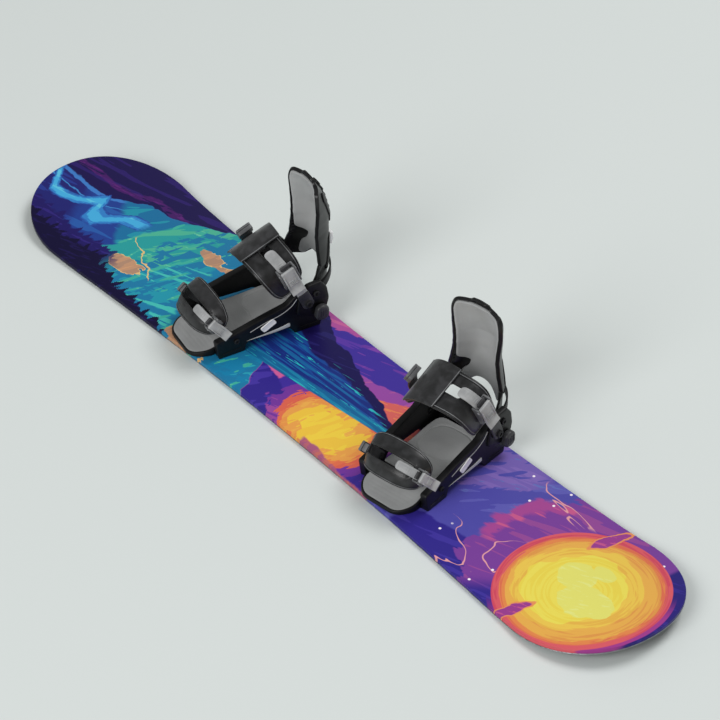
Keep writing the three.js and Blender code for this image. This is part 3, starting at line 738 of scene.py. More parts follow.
def swept(path, radius, sides=8, closed=False):
    """A round tube along a path of points, with domed ends unless it is closed on itself."""
    path = np.array(path, float)
    tangent = np.roll(path, -1, axis=0) - np.roll(path, 1, axis=0)
    if not closed:
        tangent[0], tangent[-1] = path[1] - path[0], path[-1] - path[-2]
    tangent /= np.linalg.norm(tangent, axis=1)[:, None]
    side = np.cross(tangent[0], (0.3, 0.2, 0.93))
    rings = []
    for spot, direction in zip(path, tangent):
        side = side - direction * (side @ direction)
        side = side / np.linalg.norm(side)
        other = np.cross(direction, side)
        turn = np.arange(sides) * 2 * math.pi / sides
        rings.append(spot + radius * (np.outer(np.cos(turn), side) + np.outer(np.sin(turn), other)))
    points = np.concatenate(rings)
    count = len(path)
    faces = []
    for i in range(count if closed else count - 1):
        j = (i + 1) % count
        for k in range(sides):
            m = (k + 1) % sides
            faces.append((i * sides + k, j * sides + k, j * sides + m, i * sides + m))
    if not closed:
        faces.append(tuple(range(sides)))
        faces.append(tuple(range((count - 1) * sides, count * sides))[::-1])
    return points, [face[::-1] for face in faces]


def moved(solid, matrix):
    points, faces = solid
    array = np.array(matrix)
    return points @ array[:3, :3].T + array[:3, 3], faces


def flipped(solid):
    """The mirror image across the plane x = 0."""
    points, faces = solid
    return points * (-1, 1, 1), [face[::-1] for face in faces]


def combined(*solids):
    points, faces, first = [], [], 0
    for spots, polygons in solids:
        points.append(spots)
        faces += [tuple(int(k) + first for k in polygon) for polygon in polygons]
        first += len(spots)
    return np.concatenate(points), faces


def mesh_from(name, solid):
    mesh = bpy.data.meshes.new(name)
    mesh.from_pydata([tuple(p) for p in solid[0]], [], [tuple(int(k) for k in f) for f in solid[1]])
    mesh.update()
    return mesh


def solid_from(obj):
    """The object's mesh with its modifiers, as a solid again."""
    ready = obj.evaluated_get(bpy.context.evaluated_depsgraph_get())
    mesh = ready.to_mesh()
    points = np.array([tuple(v.co) for v in mesh.vertices])
    faces = [tuple(polygon.vertices) for polygon in mesh.polygons]
    ready.to_mesh_clear()
    return points, faces


def shaped(first, *steps):
    """Boolean steps on a solid: each is ("UNION" or "DIFFERENCE", solid)."""
    made = []

    def temporary(solid):
        obj = bpy.data.objects.new("blank", mesh_from("blank", solid))
        bpy.context.scene.collection.objects.link(obj)
        made.append(obj)
        return obj

    body = temporary(first)
    for operation, tool in steps:
        modifier = body.modifiers.new("shape", "BOOLEAN")
        modifier.operation = operation
        modifier.solver = "MANIFOLD"
        modifier.object = temporary(tool)
    result = solid_from(body)
    for obj in made:
        bpy.data.objects.remove(obj)
    return result


def bolt_hole(place, x0, x1):
    """The step that cuts a bolt's hole from x0 to x1 at place (y, z)."""
    hole = revolved([(BOLT_HOLE, x0), (BOLT_HOLE, x1)], 32)
    return "DIFFERENCE", moved(hole, Matrix.Translation((0, *place)))


# ---- Soft pieces: cloth filled by pressure, held at its seams ----
def inflated(solid, held, pressure, cap):
    """The solid as a filled cushion. held(points) marks what stays put, and cap is the furthest
    that a point may move. The simulation works in metres."""
    points, faces = solid
    cushion = bpy.data.objects.new("cushion", mesh_from("cushion", (points * MM, faces)))
    bpy.context.scene.collection.objects.link(cushion)
    group = cushion.vertex_groups.new(name="held")
    group.add([int(i) for i in np.flatnonzero(held(points))], 1.0, "REPLACE")
    cloth = cushion.modifiers.new("cloth", "CLOTH")
    settings = cloth.settings
    settings.quality = 5
    settings.mass = 0.3
    settings.tension_stiffness = settings.compression_stiffness = 25
    settings.bending_stiffness = 0.6
    settings.use_pressure = True
    settings.uniform_pressure_force = pressure
    settings.vertex_group_mass = "held"
    settings.effector_weights.gravity = 0
    cloth.collision_settings.use_collision = False
    scene = bpy.context.scene
    for number in range(1, 21):
        scene.frame_set(number)
    swollen, _ = solid_from(cushion)
    scene.frame_set(1)
    bpy.data.objects.remove(cushion)
    move = swollen / MM - points
    length = np.linalg.norm(move, axis=1)[:, None]
    return points + move * np.minimum(1, cap / np.maximum(length, 1e-9)), faces


# ---- Curves and surfaces of the bindings, in each binding's own frame ----
def smooth_path(stations):
    """A centripetal spline through the stations, as a function of the length along it."""
    knots = np.array(stations, float)
    padded_knots = np.concatenate([[2 * knots[0] - knots[1]], knots, [2 * knots[-1] - knots[-2]]])
    samples = []
    shares = np.linspace(0, 1, 41)[:, None]
    for i in range(len(knots) - 1):
        p0, p1, p2, p3 = padded_knots[i:i + 4]
        d0, d1, d2 = (max(np.linalg.norm(b - a) ** 0.5, 1e-6) for a, b in ((p0, p1), (p1, p2), (p2, p3)))
        m1 = ((p1 - p0) / d0 - (p2 - p0) / (d0 + d1) + (p2 - p1) / d1) * d1
        m2 = ((p2 - p1) / d1 - (p3 - p1) / (d1 + d2) + (p3 - p2) / d2) * d1
        cubic = 2 * p1 - 2 * p2 + m1 + m2
        square = -3 * p1 + 3 * p2 - 2 * m1 - m2
        piece = p1 + m1 * shares + square * shares ** 2 + cubic * shares ** 3
        samples.append(piece if i == 0 else piece[1:])
    samples = np.concatenate(samples)
    lengths = np.concatenate([[0], np.cumsum(np.linalg.norm(np.diff(samples, axis=0), axis=1))])
    return lambda along: np.stack([np.interp(along, lengths, samples[:, k]) for k in (0, 1)], 1), lengths[-1]


class StrapRun:
    """A run of strap in a plane that holds the X axis and leans. Stations are [x, height]."""

    def __init__(self, anchor, up, stations):
        self.anchor = np.array([0, *anchor], float)
        self.up = np.array([0, *up], float)
        self.up /= np.linalg.norm(self.up)
        self.across = np.array([0, self.up[2], -self.up[1]])
        self.path, self.length = smooth_path(stations)

    def surface(self, sideways, along):
        spot = self.path(np.clip(along, 0, self.length))
        in_plane = np.outer(spot[:, 0], (1, 0, 0)) + np.outer(spot[:, 1], self.up)
        return self.anchor + in_plane + np.outer(sideways, self.across)

    def seat(self, x, height, sideways, tilt):
        """Where a small part sits that is drawn with X across the strap, Y up it and Z outwards."""
        first = np.array([1.0, 0, 0])
        outwards = first * math.cos(tilt) + self.up * math.sin(tilt)
        upwards = -first * math.sin(tilt) + self.up * math.cos(tilt)
        matrix = np.eye(4)
        matrix[:3, 0], matrix[:3, 1], matrix[:3, 2] = self.across, upwards, outwards
        matrix[:3, 3] = self.anchor + first * x + self.up * height + self.across * sideways
        return matrix


ANKLE_UP = (-math.sin(ANKLE_LEAN), math.cos(ANKLE_LEAN))
TOE_UP = (-0.65, 0.76)
ANKLE_ARCH = StrapRun(ANKLE_BOLT, ANKLE_UP, [
    (58, 20), (68, 38), (71, 58), (65, 90), (50, 103), (20, 107), (-20, 102), (-46, 83), (-60, 57),
    (-65, 30), (-62, 14),
])
ANKLE_LADDER = StrapRun(ANKLE_BOLT, ANKLE_UP, [
    (77.2, -10), (78, 25), (77, 50), (72.2, 88), (57, 111), (40, 119),
])
ANKLE_FAR = StrapRun(ANKLE_BOLT, ANKLE_UP, [(-58, 87), (-67, 72), (-75, 48), (-78.5, 20), (-77.5, -10)])
TOE_LADDER = StrapRun(TOE_BOLT, TOE_UP, [
    (54.2, -6), (54.2, 8), (54.3, 18), (56.1, 27.5), (64.8, 38), (61.7, 51), (53.7, 63), (42, 70.5), (30, 74),
    (18, 76),
])
ANKLE_BUCKLE = dict(
    half=13.2, wall=3, low=-21, high=22, floor=(1.5, 3), height=16, length=46, thickness=2.4,
    pin=(14, 13.2, 1.8), seat=ANKLE_ARCH.seat(68.6, 74, -5.5, 0.185), droop=0.02,
)
TOE_BUCKLE = dict(
    half=9.4, wall=2.6, low=-9, high=14, floor=(1.1, 2.5), height=17.2, length=38, thickness=2.2,
    pin=(7.5, 14.6, 1.6), seat=TOE_LADDER.seat(55.6, 49.6, 0, 0.52), droop=0.24,
)


def curve(*pairs):
    """A function through (height, value) pairs, straight between them."""
    heights, values = zip(*pairs)
    return lambda z: np.interp(z, heights, values)


HIGHBACK_HALF = curve(
    (60, 59.2), (113, 59.2), (140, 53), (166, 49.5), (183, 50.5), (216, 55), (236, 55), (280, 50),
)
HIGHBACK_FRONT = curve((60, 92), (86, 98), (112, 112), (280, 112))
HIGHBACK_REAR = curve(
    (60, 139), (100, 143), (125, 149), (155, 154), (190, 155), (227, 145), (241, 139), (262, 126), (280, 114),
)
HIGHBACK_BOW = curve((60, 6), (110, 4), (150, 2.8), (280, 2.4))


def highback_surface(x, z):
    share = np.abs(x / HIGHBACK_HALF(z)) ** HIGHBACK_BOW(z)
    front = HIGHBACK_FRONT(z)
    return np.stack([x, front + (HIGHBACK_REAR(z) - front) * (1 - share), z], 1)


def squared(value, power=0.74):
    """A sine or cosine bent so that a circle turns into a rounded square."""
    return np.sign(value) * np.abs(value) ** power


def toe_surface(angle, along):
    """The toe cap: angle in degrees from the toe's front up to its top, along from the +X end."""
    turn = math.pi * along / 220
    side, middle = squared(np.cos(turn)), np.abs(squared(np.sin(turn)))
    share, tilt = (angle - 8) / 80, np.radians(angle)
    half = 55.5 + (63.2 - 55.5) * share
    end_y, end_z = -84 + 22 * share, 38 + 18 * share
    top_y, top_z = -62 - 58 * np.cos(tilt), 42 + 54 * np.sin(tilt)
    return np.stack([half * side, end_y + (top_y - end_y) * middle, end_z + (top_z - end_z) * middle], 1)


def hoop_surface(angle, height):
    """The heel hoop's inner face: angle in degrees from straight back, height across the band."""
    turn = np.radians(angle)
    side, back = squared(np.sin(turn), 0.7), np.maximum(0, squared(np.cos(turn), 0.7))
    half = 16 + (8.5 - 16) * back
    middle = 68 + (101 - 68) * back ** 1.5
    return np.stack([58.6 * side, 99 + 46 * back, middle + half * height], 1)


def along_outline(loop, surface, lift, step=1.6):
    """The outline itself, on the surface, raised by lift: the path of a piping or seam."""
    return raised(surface, densified(loop, step), lift)


def inset(loop, amount):
    """The outline moved inwards by an amount."""
    if signed_area(loop) < 0:
        loop = loop[::-1]
    real = densified(loop, 3)
    tangent = np.roll(real, -1, axis=0) - np.roll(real, 1, axis=0)
    tangent /= np.linalg.norm(tangent, axis=1)[:, None]
    shifted = real + np.stack([-tangent[:, 1], tangent[:, 0]], 1) * amount
    keep = edge_depth(shifted, [real]) > amount * 0.93
    return shifted[keep]


# ---- Pieces of a binding. Each function returns one solid in the binding's frame ----
def chassis():
    rail_outline = rounded([
        (-89, GAP, 2), (-95, 36, 5), (-58, 42, 12), (-5, 55, 20), (42, 64.5, 14), (54, 76, 10),
        (84, 91, 10), (105, 89, 8), (115, 68, 8), (111, 21.5, 10), (105, GAP, 2), (56, GAP, 2),
        (47, 15.6, 10), (16, 16.4, 20), (-36, 18.7, 10), (-41, GAP, 2),
    ], 4, 8)
    wing_outline = rounded([
        (58, 40, 8), (64, 78, 6), (80, 94, 3), (105, 96, 3), (117, 80, 4), (121, 56, 5), (115, 34, 6),
        (90, 28, 10),
    ], 6, 8)
    added = [
        side_plate(rail_outline, -71, -58, step=6, edge=1.8),
        side_plate(wing_outline, 64, 75, step=6, edge=2.4),
        side_plate(wing_outline, -75, -64, step=6, edge=2.4), block(-60, 60, -89, -66, GAP, 6.3),
        block(-46, 46, -75, 90, GAP, 6.3), block(-60, 60, 62, 104, GAP, 6.3), block(-60, 60, 96, 104, 5, 27),
    ]
    highback_room = [block(x0, x1, 66, 140, 31, 120) for x0, x1 in ((50, 64), (-64, -50))]
    disc_hole = moved(revolved([(48.3, -15), (48.3, 15)], 96), Matrix.Rotation(math.pi / 2, 4, "Y"))
    toe_groove = rounded([(-84, 8), (-84, 12), (-48, 14), (-48, 10)], 1.5, 4)
    heel_groove = rounded([(64, 9), (64, 13), (102, 13), (102, 9)], 1.5, 4)
    grooves = [
        side_plate(outline, *span, edge=0.5)
        for outline in (toe_groove, heel_groove) for span in ((70.2, 74), (-74, -70.2))
    ]
    return shaped(
        side_plate(rail_outline, 58, 71, step=6, edge=1.8),
        *[("UNION", solid) for solid in added],
        *[("DIFFERENCE", solid) for solid in (disc_hole, *highback_room)],
        *[bolt_hole(place, -100, 100) for place in (HIGHBACK_PIVOT, ANKLE_BOLT, TOE_BOLT)],
        *[("DIFFERENCE", solid) for solid in grooves],
    )


def mounting_disc():
    slots = [rounded(rectangle(x - 3, x + 3, -26, 26), 2.9) for x in (-20, 20)]
    return slab([circle(48, 3.75), *slots], GAP, GAP + 5, step=5, edge=0.7)


def footbed():
    outline = rounded([
        (-50, -56, 6), (50, -56, 6), (53, -20, 20), (53, 60, 20), (49, 90, 24), (-49, 90, 24), (-52, 60, 20),
        (-48, 0, 30),
    ], 8)

    def relief(x, y, depth):
        """A raised heel island with a grooved rim, and a shallow dish under the heel."""
        island = ((np.abs(x) / 41) ** 3 + (np.abs(y - 40) / 39) ** 3) ** (1 / 3)
        ribs = np.where(island > 1.06, 0.25 * np.cos(y * 1.3), 0) * np.clip((depth - 4) / 4, 0, 1)
        dish = np.clip(1 - island, 0, 1) * 1.2
        return groove(island, 1, 0.035, 1.7) - dish - ribs - 0.25
    return slab(outline, 6.6, 21, step=1.6, edge=1.6, relief=relief)


RAMP_OUTLINE = [
    (-52.5, -57, 2), (-56, -104, 14), (-36, -129, 26), (38, -131, 26), (56, -104, 14), (52.5, -57, 2),
]


def ramp_height(y):
    """The ramp's top over the board: level behind y = -60, then down to its front lip."""
    return 21 - np.clip(-60 - y, 0, 90) * 17.5 / 90


def ramp_sheet(outline, lift, rib, underside):
    """A sheet on the ramp: its top is lifted over the ramp and ribbed, and underside(y) is its bottom."""
    flat, triangles, depth = filled([outline], 2.4, [0.2, 0.6, 1.2])
    x, y = flat[:, 0], flat[:, 1]
    ribs = rib * np.cos(y * 0.9) * np.clip((depth - 5) / 4, 0, 1)
    top = ramp_height(y) + lift - fillet(depth, 1.2) + ribs
    bottom = np.minimum(underside(y), top - 0.3)
    return closed_sheet(triangles, np.stack([x, y, top], 1), np.stack([x, y, bottom], 1))


def ramp_rim():
    """The hard rim. It reaches down past the board's toe edge in front of y = -91.5."""
    return ramp_sheet(rounded(RAMP_OUTLINE, 6, 8), -0.5, 0, lambda y: np.where(y > -91.5, 6.9, 1.0))


def ramp_pad():
    return ramp_sheet(inset(rounded(RAMP_OUTLINE, 6, 8), 3.2), 0.2, 0.3, lambda y: ramp_height(y) - 1.5)


def heel_hoop():
    """A band with a rib near each edge, drawn in (degrees, share of its half height)."""
    degree_scale, fill_scale = (1, 10), (1, 14)
    band = densified(np.array(rectangle(-90, 90, -0.9, 0.9), float) * degree_scale, 2.5) / degree_scale
    flat, triangles, _ = filled([band * fill_scale], 2.6, [])
    u, v = (flat / fill_scale).T
    base, normal = hoop_surface(u, v), -normals(hoop_surface, u, v, 0.005)
    crown = 1 - np.abs(v / 0.9) ** 6
    rib = -groove(np.abs(v), 0.62, 0.12, 0.5)
    outside = base + normal * (2.0 + 2.3 * crown + rib)[:, None]
    inside_face = base + normal * (1.9 - 0.6 * crown)[:, None]
    points, faces = closed_sheet(triangles, outside, inside_face)
    return points, [face[::-1] for face in faces]


HIGHBACK_OUTLINE = mirrored([
    (14, 268, 5), (22, 259, 5), (47, 257, 8), (53.5, 240, 10), (53.5, 216, 12), (49.5, 183, 14),
    (48.5, 166, 12),
    (52, 140, 12), (58.4, 113, 8), (58.4, 70, 3), (40, 70, 10), (18, 91, 14), (6, 96, 6),
])
PAD_OUTLINE = mirrored([
    (18, 256.5, 4), (45.5, 254.6, 8), (51.9, 239, 10), (51.9, 216, 12), (47.9, 184, 14), (46.9, 164, 10),
    (49.5, 133, 5), (30, 121.5, 4), (32, 110, 4), (44, 101, 6), (47, 78, 8), (38, 74.5, 7), (17, 94, 12),
    (6, 98.5, 6),
])


def highback_shell():
    outline = rounded(HIGHBACK_OUTLINE, 8, 8)

    def rim(x, z, depth):
        lip = np.clip((1.5 - depth) / 0.6, 0, 1) * 3.4
        return lip * np.clip((z - 96) / 14, 0, 1) * np.clip((262 - z) / 4, 0, 1)

    def boss(x0, x1):
        """The round boss that carries a pivot, just behind the pivot's axis."""
        profile = [(7.8, x0), (9, x0 + 1.2), (9, x1 - 1.2), (7.8, x1)]
        return "UNION", moved(revolved(profile, 40), Matrix.Translation((0, 96, 74)))
    shell = panel(outline, highback_surface, 0, SHELL_THICKNESS, step=2.6, edge=0.8, relief=rim)
    return shaped(shell, boss(51.7, 59.2), boss(-59.2, -51.7), bolt_hole(HIGHBACK_PIVOT, -80, 80))


def highback_spine():
    """The moulded ribs down the back of the shell and the grip at its top."""
    ribs = []

    def add_rib(outline, bulge, step, edge, front=0.8):
        ribs.append(panel(outline, highback_surface, -bulge, front, step=step, edge=edge))
    for half, low, high, bulge in ((9, 166, 250, 2.6), (4, 160, 253, 4.0)):
        add_rib(rounded(rectangle(-half, half, low, high), half * 0.8), bulge, 3, 1.2)
    for side in (-1, 1):
        for bulge, corners in (
            (2.2, [(15, 170, 6), (22, 172, 6), (40, 236, 8), (33, 246, 8), (20, 236, 8)]),
            (2.0, [(20, 112, 6), (46, 90, 8), (50, 108, 8), (30, 148, 8), (18, 150, 6)]),
        ):
            add_rib(rounded([(side * x, z, radius) for x, z, radius in corners], 4), bulge, 3, 1.1)
    for low in range(176, 242, 13):
        add_rib(rounded(rectangle(-7.4, 7.4, low, low + 5), 2), 4.6, 2.5, 0.9)
    for x in np.linspace(-15, 15, 11):
        add_rib(rounded(rectangle(x - 0.9, x + 0.9, 257.6, 267 - abs(x) / 5), 0.7), 1.6, 2, 0.6, 5.0)
    return combined(*ribs)


def highback_pad():
    outline = rounded(PAD_OUTLINE, 8, 8)

    def crown(x, z, depth):
        return 0.9 * (1 - np.exp(-depth / 12)) + groove(depth, 3.4, 0.7, 0.6)
    return panel(outline, highback_surface, SHELL_THICKNESS + GAP, 9.6, step=2.2, edge=1.8, relief=crown)


def lean_block():
    body = block(-9, 9, 155.4, 163.5, 111, 136, 2, 1.2)
    lever = block(-6.5, 6.5, 163, 166.6, 114, 133, 2, 1.0)
    foot = block(-9, 9, 148.3, 156.4, 110.2, 114, 1.5, 0.8)
    ribs = [block(-5, 5, 166.2, 167.4, z, z + 1.6, 0.5, 0.4) for z in (117, 121, 125, 129)]
    return combined(body, lever, foot, *ribs)


def on_side(solid, sign):
    """The solid drawn for +X, or its mirror image at -X."""
    return solid if sign > 0 else flipped(solid)


def side_pin(place, sign, inner, head_from, head, flange):
    """A headed pin with a hexagonal socket, through a side wall at +X or -X."""
    profile = [
        (0.4, inner - 2.5), (flange - 0.5, inner - 2.5), (flange, inner - 2), (flange, inner), (3, inner),
        (3, head_from), (head - 0.3, head_from), (head, head_from + 0.5), (head, head_from + 2),
        (head - 1, head_from + 3), (head * 0.55, head_from + 3), (head * 0.5, head_from + 1.2),
        (0.4, head_from + 1.2),
    ]
    solid = revolved(profile, 48, facets={10, 11})
    return moved(on_side(solid, sign), Matrix.Translation((0, *place)))


ANKLE_PAD_OUTLINE = [
    (-18, 10, 5), (-34, 12, 8), (-46, 36, 20), (-53, 80, 30), (-55, 128, 30), (-57, 200, 20), (-48, 236, 14),
    (-24, 262, 10), (8, 256, 12), (24, 225, 20), (25, 190, 30), (21, 128, 30), (22, 72, 20), (18, 42, 10),
    (4, 30, 8),
]
ANKLE_WINDOW = [(-2, 100), (-2, 148), (-23, 148), (-23, 100)]
ANKLE_BAND_OUTLINE = [(-57, 128), (-60, 204), (29, 204), (24, 128)]


def near_rim(loops, surface, margin):
    """A test for points of a cushion that lie within a margin of its rims."""
    rims = np.concatenate([along_outline(loop, surface, -3, 2.5) for loop in loops])

    def held(points):
        nearest = np.full(len(points), 1e9)
        for spot in rims:
            nearest = np.minimum(nearest, np.linalg.norm(points - spot, axis=1))
        return nearest < margin
    return held


def ankle_pad():
    loops = [rounded(ANKLE_PAD_OUTLINE, 10, 8), rounded(ANKLE_WINDOW, 8)]

    def channels(u, v, depth):
        """Sewn channels that run round the pad inside its rim."""
        return groove(depth, 5.5, 1.0, 1.0) - 0.4
    blank = panel(loops, ANKLE_ARCH.surface, -5.6, -0.2, step=2.6, edge=2.2, relief=channels)
    return inflated(blank, near_rim(loops, ANKLE_ARCH.surface, 7.5), 3.0, 1.2)


def piping(loops, surface, lift, radius):
    return combined(*[swept(along_outline(loop, surface, lift), radius, 8, closed=True) for loop in loops])


def ankle_welt():
    loops = [inset(rounded(ANKLE_PAD_OUTLINE, 10, 8), 1.5), rounded(ANKLE_WINDOW, 8)]
    return piping(loops, ANKLE_ARCH.surface, -1.0, 1.5)


def ankle_seam():
    return piping([inset(rounded(ANKLE_PAD_OUTLINE, 10, 8), 4.2)], ANKLE_ARCH.surface, 0.1, 0.7)


def band_seam():
    """The turned edge down each long side of the band."""
    seams = []
    for start, end in (((27.4, 202.6), (-58.4, 202.6)), ((22.8, 129.4), (-56, 129.4))):
        seams.append(swept(raised(ANKLE_ARCH.surface, np.linspace(start, end, 60), 4.0), 0.8))
    return combined(*seams)


def ankle_band():
    outline = rounded(ANKLE_BAND_OUTLINE, 5, 6)

    def relief(u, v, depth):
        return 0.9 * (1 - np.exp(-depth / 9)) + groove(depth, 3.2, 0.7, 0.5)
    return panel(outline, ANKLE_ARCH.surface, 1.2, 3.6, step=2.4, edge=1.0, relief=relief)


def toothed(middle, half, start, pitch, height):
    """Ratchet teeth round the line u = middle(v) of a ladder: each tooth climbs, then drops."""
    def relief(u, v, depth):
        phase = ((v - start) / pitch) % 1.0
        tooth = np.where(phase < 0.8, phase / 0.8, (1 - phase) / 0.2) * height
        band = np.clip((half - np.abs(u - middle(v))) / 0.8, 0, 1)
        return tooth * band * np.clip((depth - 1) / 1.5, 0, 1) * (v > start)
    return relief


def ankle_ladder():
    outline = rounded([
        (-10.5, 33, 1), (-12, 60, 30), (-23, 144, 9), (-3, 144, 9), (8, 60, 30), (9, 33, 1),
    ], 9, 8)
    teeth = toothed(curve((0, 0), (60, -2), (144, -13)), 5.5, 36, 4.0, 0.75)
    return panel(outline, ANKLE_LADDER.surface, 0, 2.2, step=1.25, edge=0.7, relief=teeth)


def ankle_anchor():
    """The dark foot that joins the ladder to its bolt."""
    outline = rounded([(-11, 0.5, 10), (-11.8, 38, 3), (9.8, 38, 3), (11, 0.5, 10)], 9, 8)
    foot = panel(outline, ANKLE_LADDER.surface, -0.5, 3.0, step=3, edge=1.0)
    return shaped(foot, bolt_hole(ANKLE_BOLT, 60, 100))


def ankle_far_strap():
    outline = rounded([
        (-26, 1), (-24, 50, 20), (-10, 94, 9), (-10, 100, 9), (10, 100, 9),
        (10, 88, 20), (-2, 50, 20), (-1, 1),
    ], 6, 8)

    def channel(u, v, depth):
        return groove(depth, 3, 0.6, 0.4)
    strap = panel(outline, ANKLE_FAR.surface, 0, 3, step=2, edge=0.9, relief=channel)
    return shaped(strap, bolt_hole(ANKLE_BOLT, -100, -60))


def far_slider():
    """The length slider on the ankle strap's far side: a frame, a cross bar and a ribbed tongue."""
    seat = ANKLE_FAR.seat(-64.5, 86, -13, math.pi * 0.82)
    frame_loops = [
        rounded(rectangle(-14, 14, -12, 12), 4), rounded(rectangle(-9, 9, -6, 6), 2),
    ]
    parts = [slab(frame_loops, 2.5, 7, step=3, edge=1.0), slab(frame_loops[0], -5, 2.2, step=5, edge=1.0)]
    for i, y in enumerate((-4.6, -1.4, 1.8)):
        parts.append(block(-8.4, 8.4, y, y + 1.8, 2, 6 + 0.25 * i, 0.6, 0.5))
    return moved(combined(*parts), seat)


def buckle_base(spec):
    """The ratchet's base: a floor, two pierced cheeks and a rivet in each."""
    half, wall, low, high = spec["half"], spec["wall"], spec["low"], spec["high"]
    floor, height, (along, out, radius) = spec["floor"], spec["height"], spec["pin"]
    outer = half + wall
    cheek_outline = rounded([
        (low, floor[0], 2), (low + 4, height * 0.7, 4), (along - 5, height, 3), (along + 6, height, 4),
        (high, floor[0], 2),
    ], 3, 8)
    hole = circle(radius + GAP, 20, (along, out))
    cheeks = [side_plate([cheek_outline, hole], x, x + wall, step=3, edge=0.8) for x in (-outer, half)]
    profile = [(0.3, -0.2), (1.9, -0.2), (1.9, 0.5), (1.2, 1), (0.3, 1)]
    rivet = moved(
        revolved([(r, outer + x) for r, x in profile], 24), Matrix.Translation((0, low + 7, floor[1] + 2.4)),
    )
    plate = block(-outer, outer, low, high, *floor, 2, 0.5)
    return moved(combined(plate, *cheeks, rivet, flipped(rivet)), spec["seat"])


def ladder_clip(spec):
    """The pawl over the ladder and its release tab, between the cheeks."""
    half, high = spec["half"] - 0.9, spec["high"]
    along, out, _ = spec["pin"]
    pawl = side_plate(rounded([
        (along - 13, 6.4), (along - 12, 8.6), (along - 3, out - 3.4), (along + 1, out - 4), (along + 2, 6.6),
        (along - 8, 5.6),
    ], 1.0), -half, half, step=4, edge=0.5)
    tab = side_plate(rounded([
        (along + 5, 7), (along + 4, out - 3), (high + 3, out - 1.5), (high + 5, out - 4.5), (high - 2, 6.8),
    ], 1.4), -half * 0.72, half * 0.72, step=4, edge=0.7)
    ribs = [
        block(-half * 0.6, half * 0.6, y - 3, y - 2, out - 3.4, out - 1.4, 0.4, 0.3)
        for y in (high, high + 2.2, high + 4.4)
    ]
    return moved(combined(pawl, tab, *ribs), spec["seat"])


def buckle_lever(spec):
    """The ratchet's long lever with a ribbed face, a hooked lip and its pin."""
    half, wall, length, thick = spec["half"], spec["wall"], spec["length"], spec["thickness"]
    along, out, radius = spec["pin"]
    outline = rounded([
        (3.4, -3.2, 3), (3.4, 3.4, 3), (-4, 3.2, 2), (-length * 0.75, 1.2, 4), (-length, 4.5, 1.5),
        (-length - 1.5, 4.5 - thick, 1.5), (-length * 0.75, 1.2 - thick, 4), (-4, -2.4, 2),
    ], 2, 6)
    reach, outer = half - 0.6, half + wall
    parts = [side_plate(outline, -reach, reach, step=4, edge=0.8)]
    pin_end = [
        (radius, outer - 0.3), (radius + 0.5, outer - 0.3), (radius + 0.5, outer + 0.2),
        (radius - 0.4, outer + 0.6),
    ]
    parts.append(revolved([(r, -x) for r, x in reversed(pin_end)] + pin_end, 24))
    rail = rounded([(-6, 1.6), (-5, 4.6), (-length * 0.7, 2.8), (-length * 0.72, 0.4)], 1.0)
    parts += [side_plate(rail, x - 0.9, x + 0.9, step=4, edge=0.5) for x in (-reach + 1.6, reach - 1.6)]
    for y in -length * 0.58 + 2.6 * np.arange(4):
        parts.append(block(-reach * 0.6, reach * 0.6, y, y + 1.2, 0.6, 3.2, 0.4, 0.4))
    place = Matrix.Translation((0, along, out)) @ Matrix.Rotation(spec["droop"], 4, "X")
    return moved(moved(combined(*parts), place), spec["seat"])


TOE_OUTLINE = [
    (66, 5, 8), (30, 5, 8), (12, 18, 10), (8, 60, 30), (8, 160, 30), (12, 202, 10),
    (30, 215, 8), (66, 215, 8),
    (84, 202, 10), (88, 160, 30), (88, 60, 30), (84, 18, 10),
]
TOE_WINDOW = [(58, 174), (37, 174), (37, 60), (58, 60)]


def toe_strap():
    """Two padded bands over the toe. They are drawn in (angle, along), where a degree is about
    a millimetre."""
    loops = [rounded(TOE_OUTLINE, 8, 8), rounded(TOE_WINDOW, 7)]

    def channels(u, v, depth):
        return groove(depth, 4.2, 0.8, 0.8) - 0.3
    blank = panel(loops, toe_surface, -4.3, -0.1, step=2.4, edge=1.9, relief=channels)
    return inflated(blank, near_rim(loops, toe_surface, 6.0), 3.0, 1.0)


def toe_welt():
    loops = [inset(rounded(TOE_OUTLINE, 8, 8), 1.2), rounded(TOE_WINDOW, 7)]
    return piping(loops, toe_surface, -1.0, 1.1)


def toe_seam():
    return piping([inset(rounded(TOE_OUTLINE, 8, 8), 3.4)], toe_surface, 0.0, 0.55)


def toe_ladder():
    end = TOE_LADDER.length - 0.5
    outline = rounded([(-7.5, 0.5, 7), (-7.5, end, 6), (7.5, end, 6), (7.5, 0.5, 7)], 7, 8)
    teeth = toothed(curve((0, 0), (end, 0)), 4, 24, 3.4, 0.6)
    strip = panel(outline, TOE_LADDER.surface, 0, 2.1, step=1.2, edge=0.7, relief=teeth)
    return shaped(strip, bolt_hole(TOE_BOLT, 40, 80))


def toe_far_tab():
    """The tab that carries the toe strap's far end."""
    tab = moved(block(-8, 8, -30, 22, -1.5, 1.5, 4, 0.7), TOE_LADDER.seat(-55.9, 22, 0, 0))
    return shaped(tab, bolt_hole(TOE_BOLT, -70, -40))


def toe_far_adjuster():
    seat = TOE_LADDER.seat(-64.5, 40, -2, math.pi)
    loops = [rounded(rectangle(-9, 9, -11, 11), 3), rounded(rectangle(-5.5, 5.5, -6, 6), 2)]
    parts = [slab(loops, 0.5, 5, step=3, edge=0.8), block(-7, 7, -8, 8, -7.6, 0.8, 2, 0.8)]
    parts += [block(-5.8, 5.8, y, y + 1.6, 0.8, 4.2, 0.5, 0.4) for y in (-3.6, 0, 3.6)]
    return moved(combined(*parts), seat)


def badge(sign):
    outline = rounded([(-12, 37), (-4, 26), (21, 39), (13, 50)], 4, 8)

    def dish(y, z, depth):
        return -0.5 * np.clip((depth - 2.2) / 0.8, 0, 1)
    return on_side(side_plate(outline, 71.3, 73.5, step=1.5, edge=0.9, relief=dish), sign)


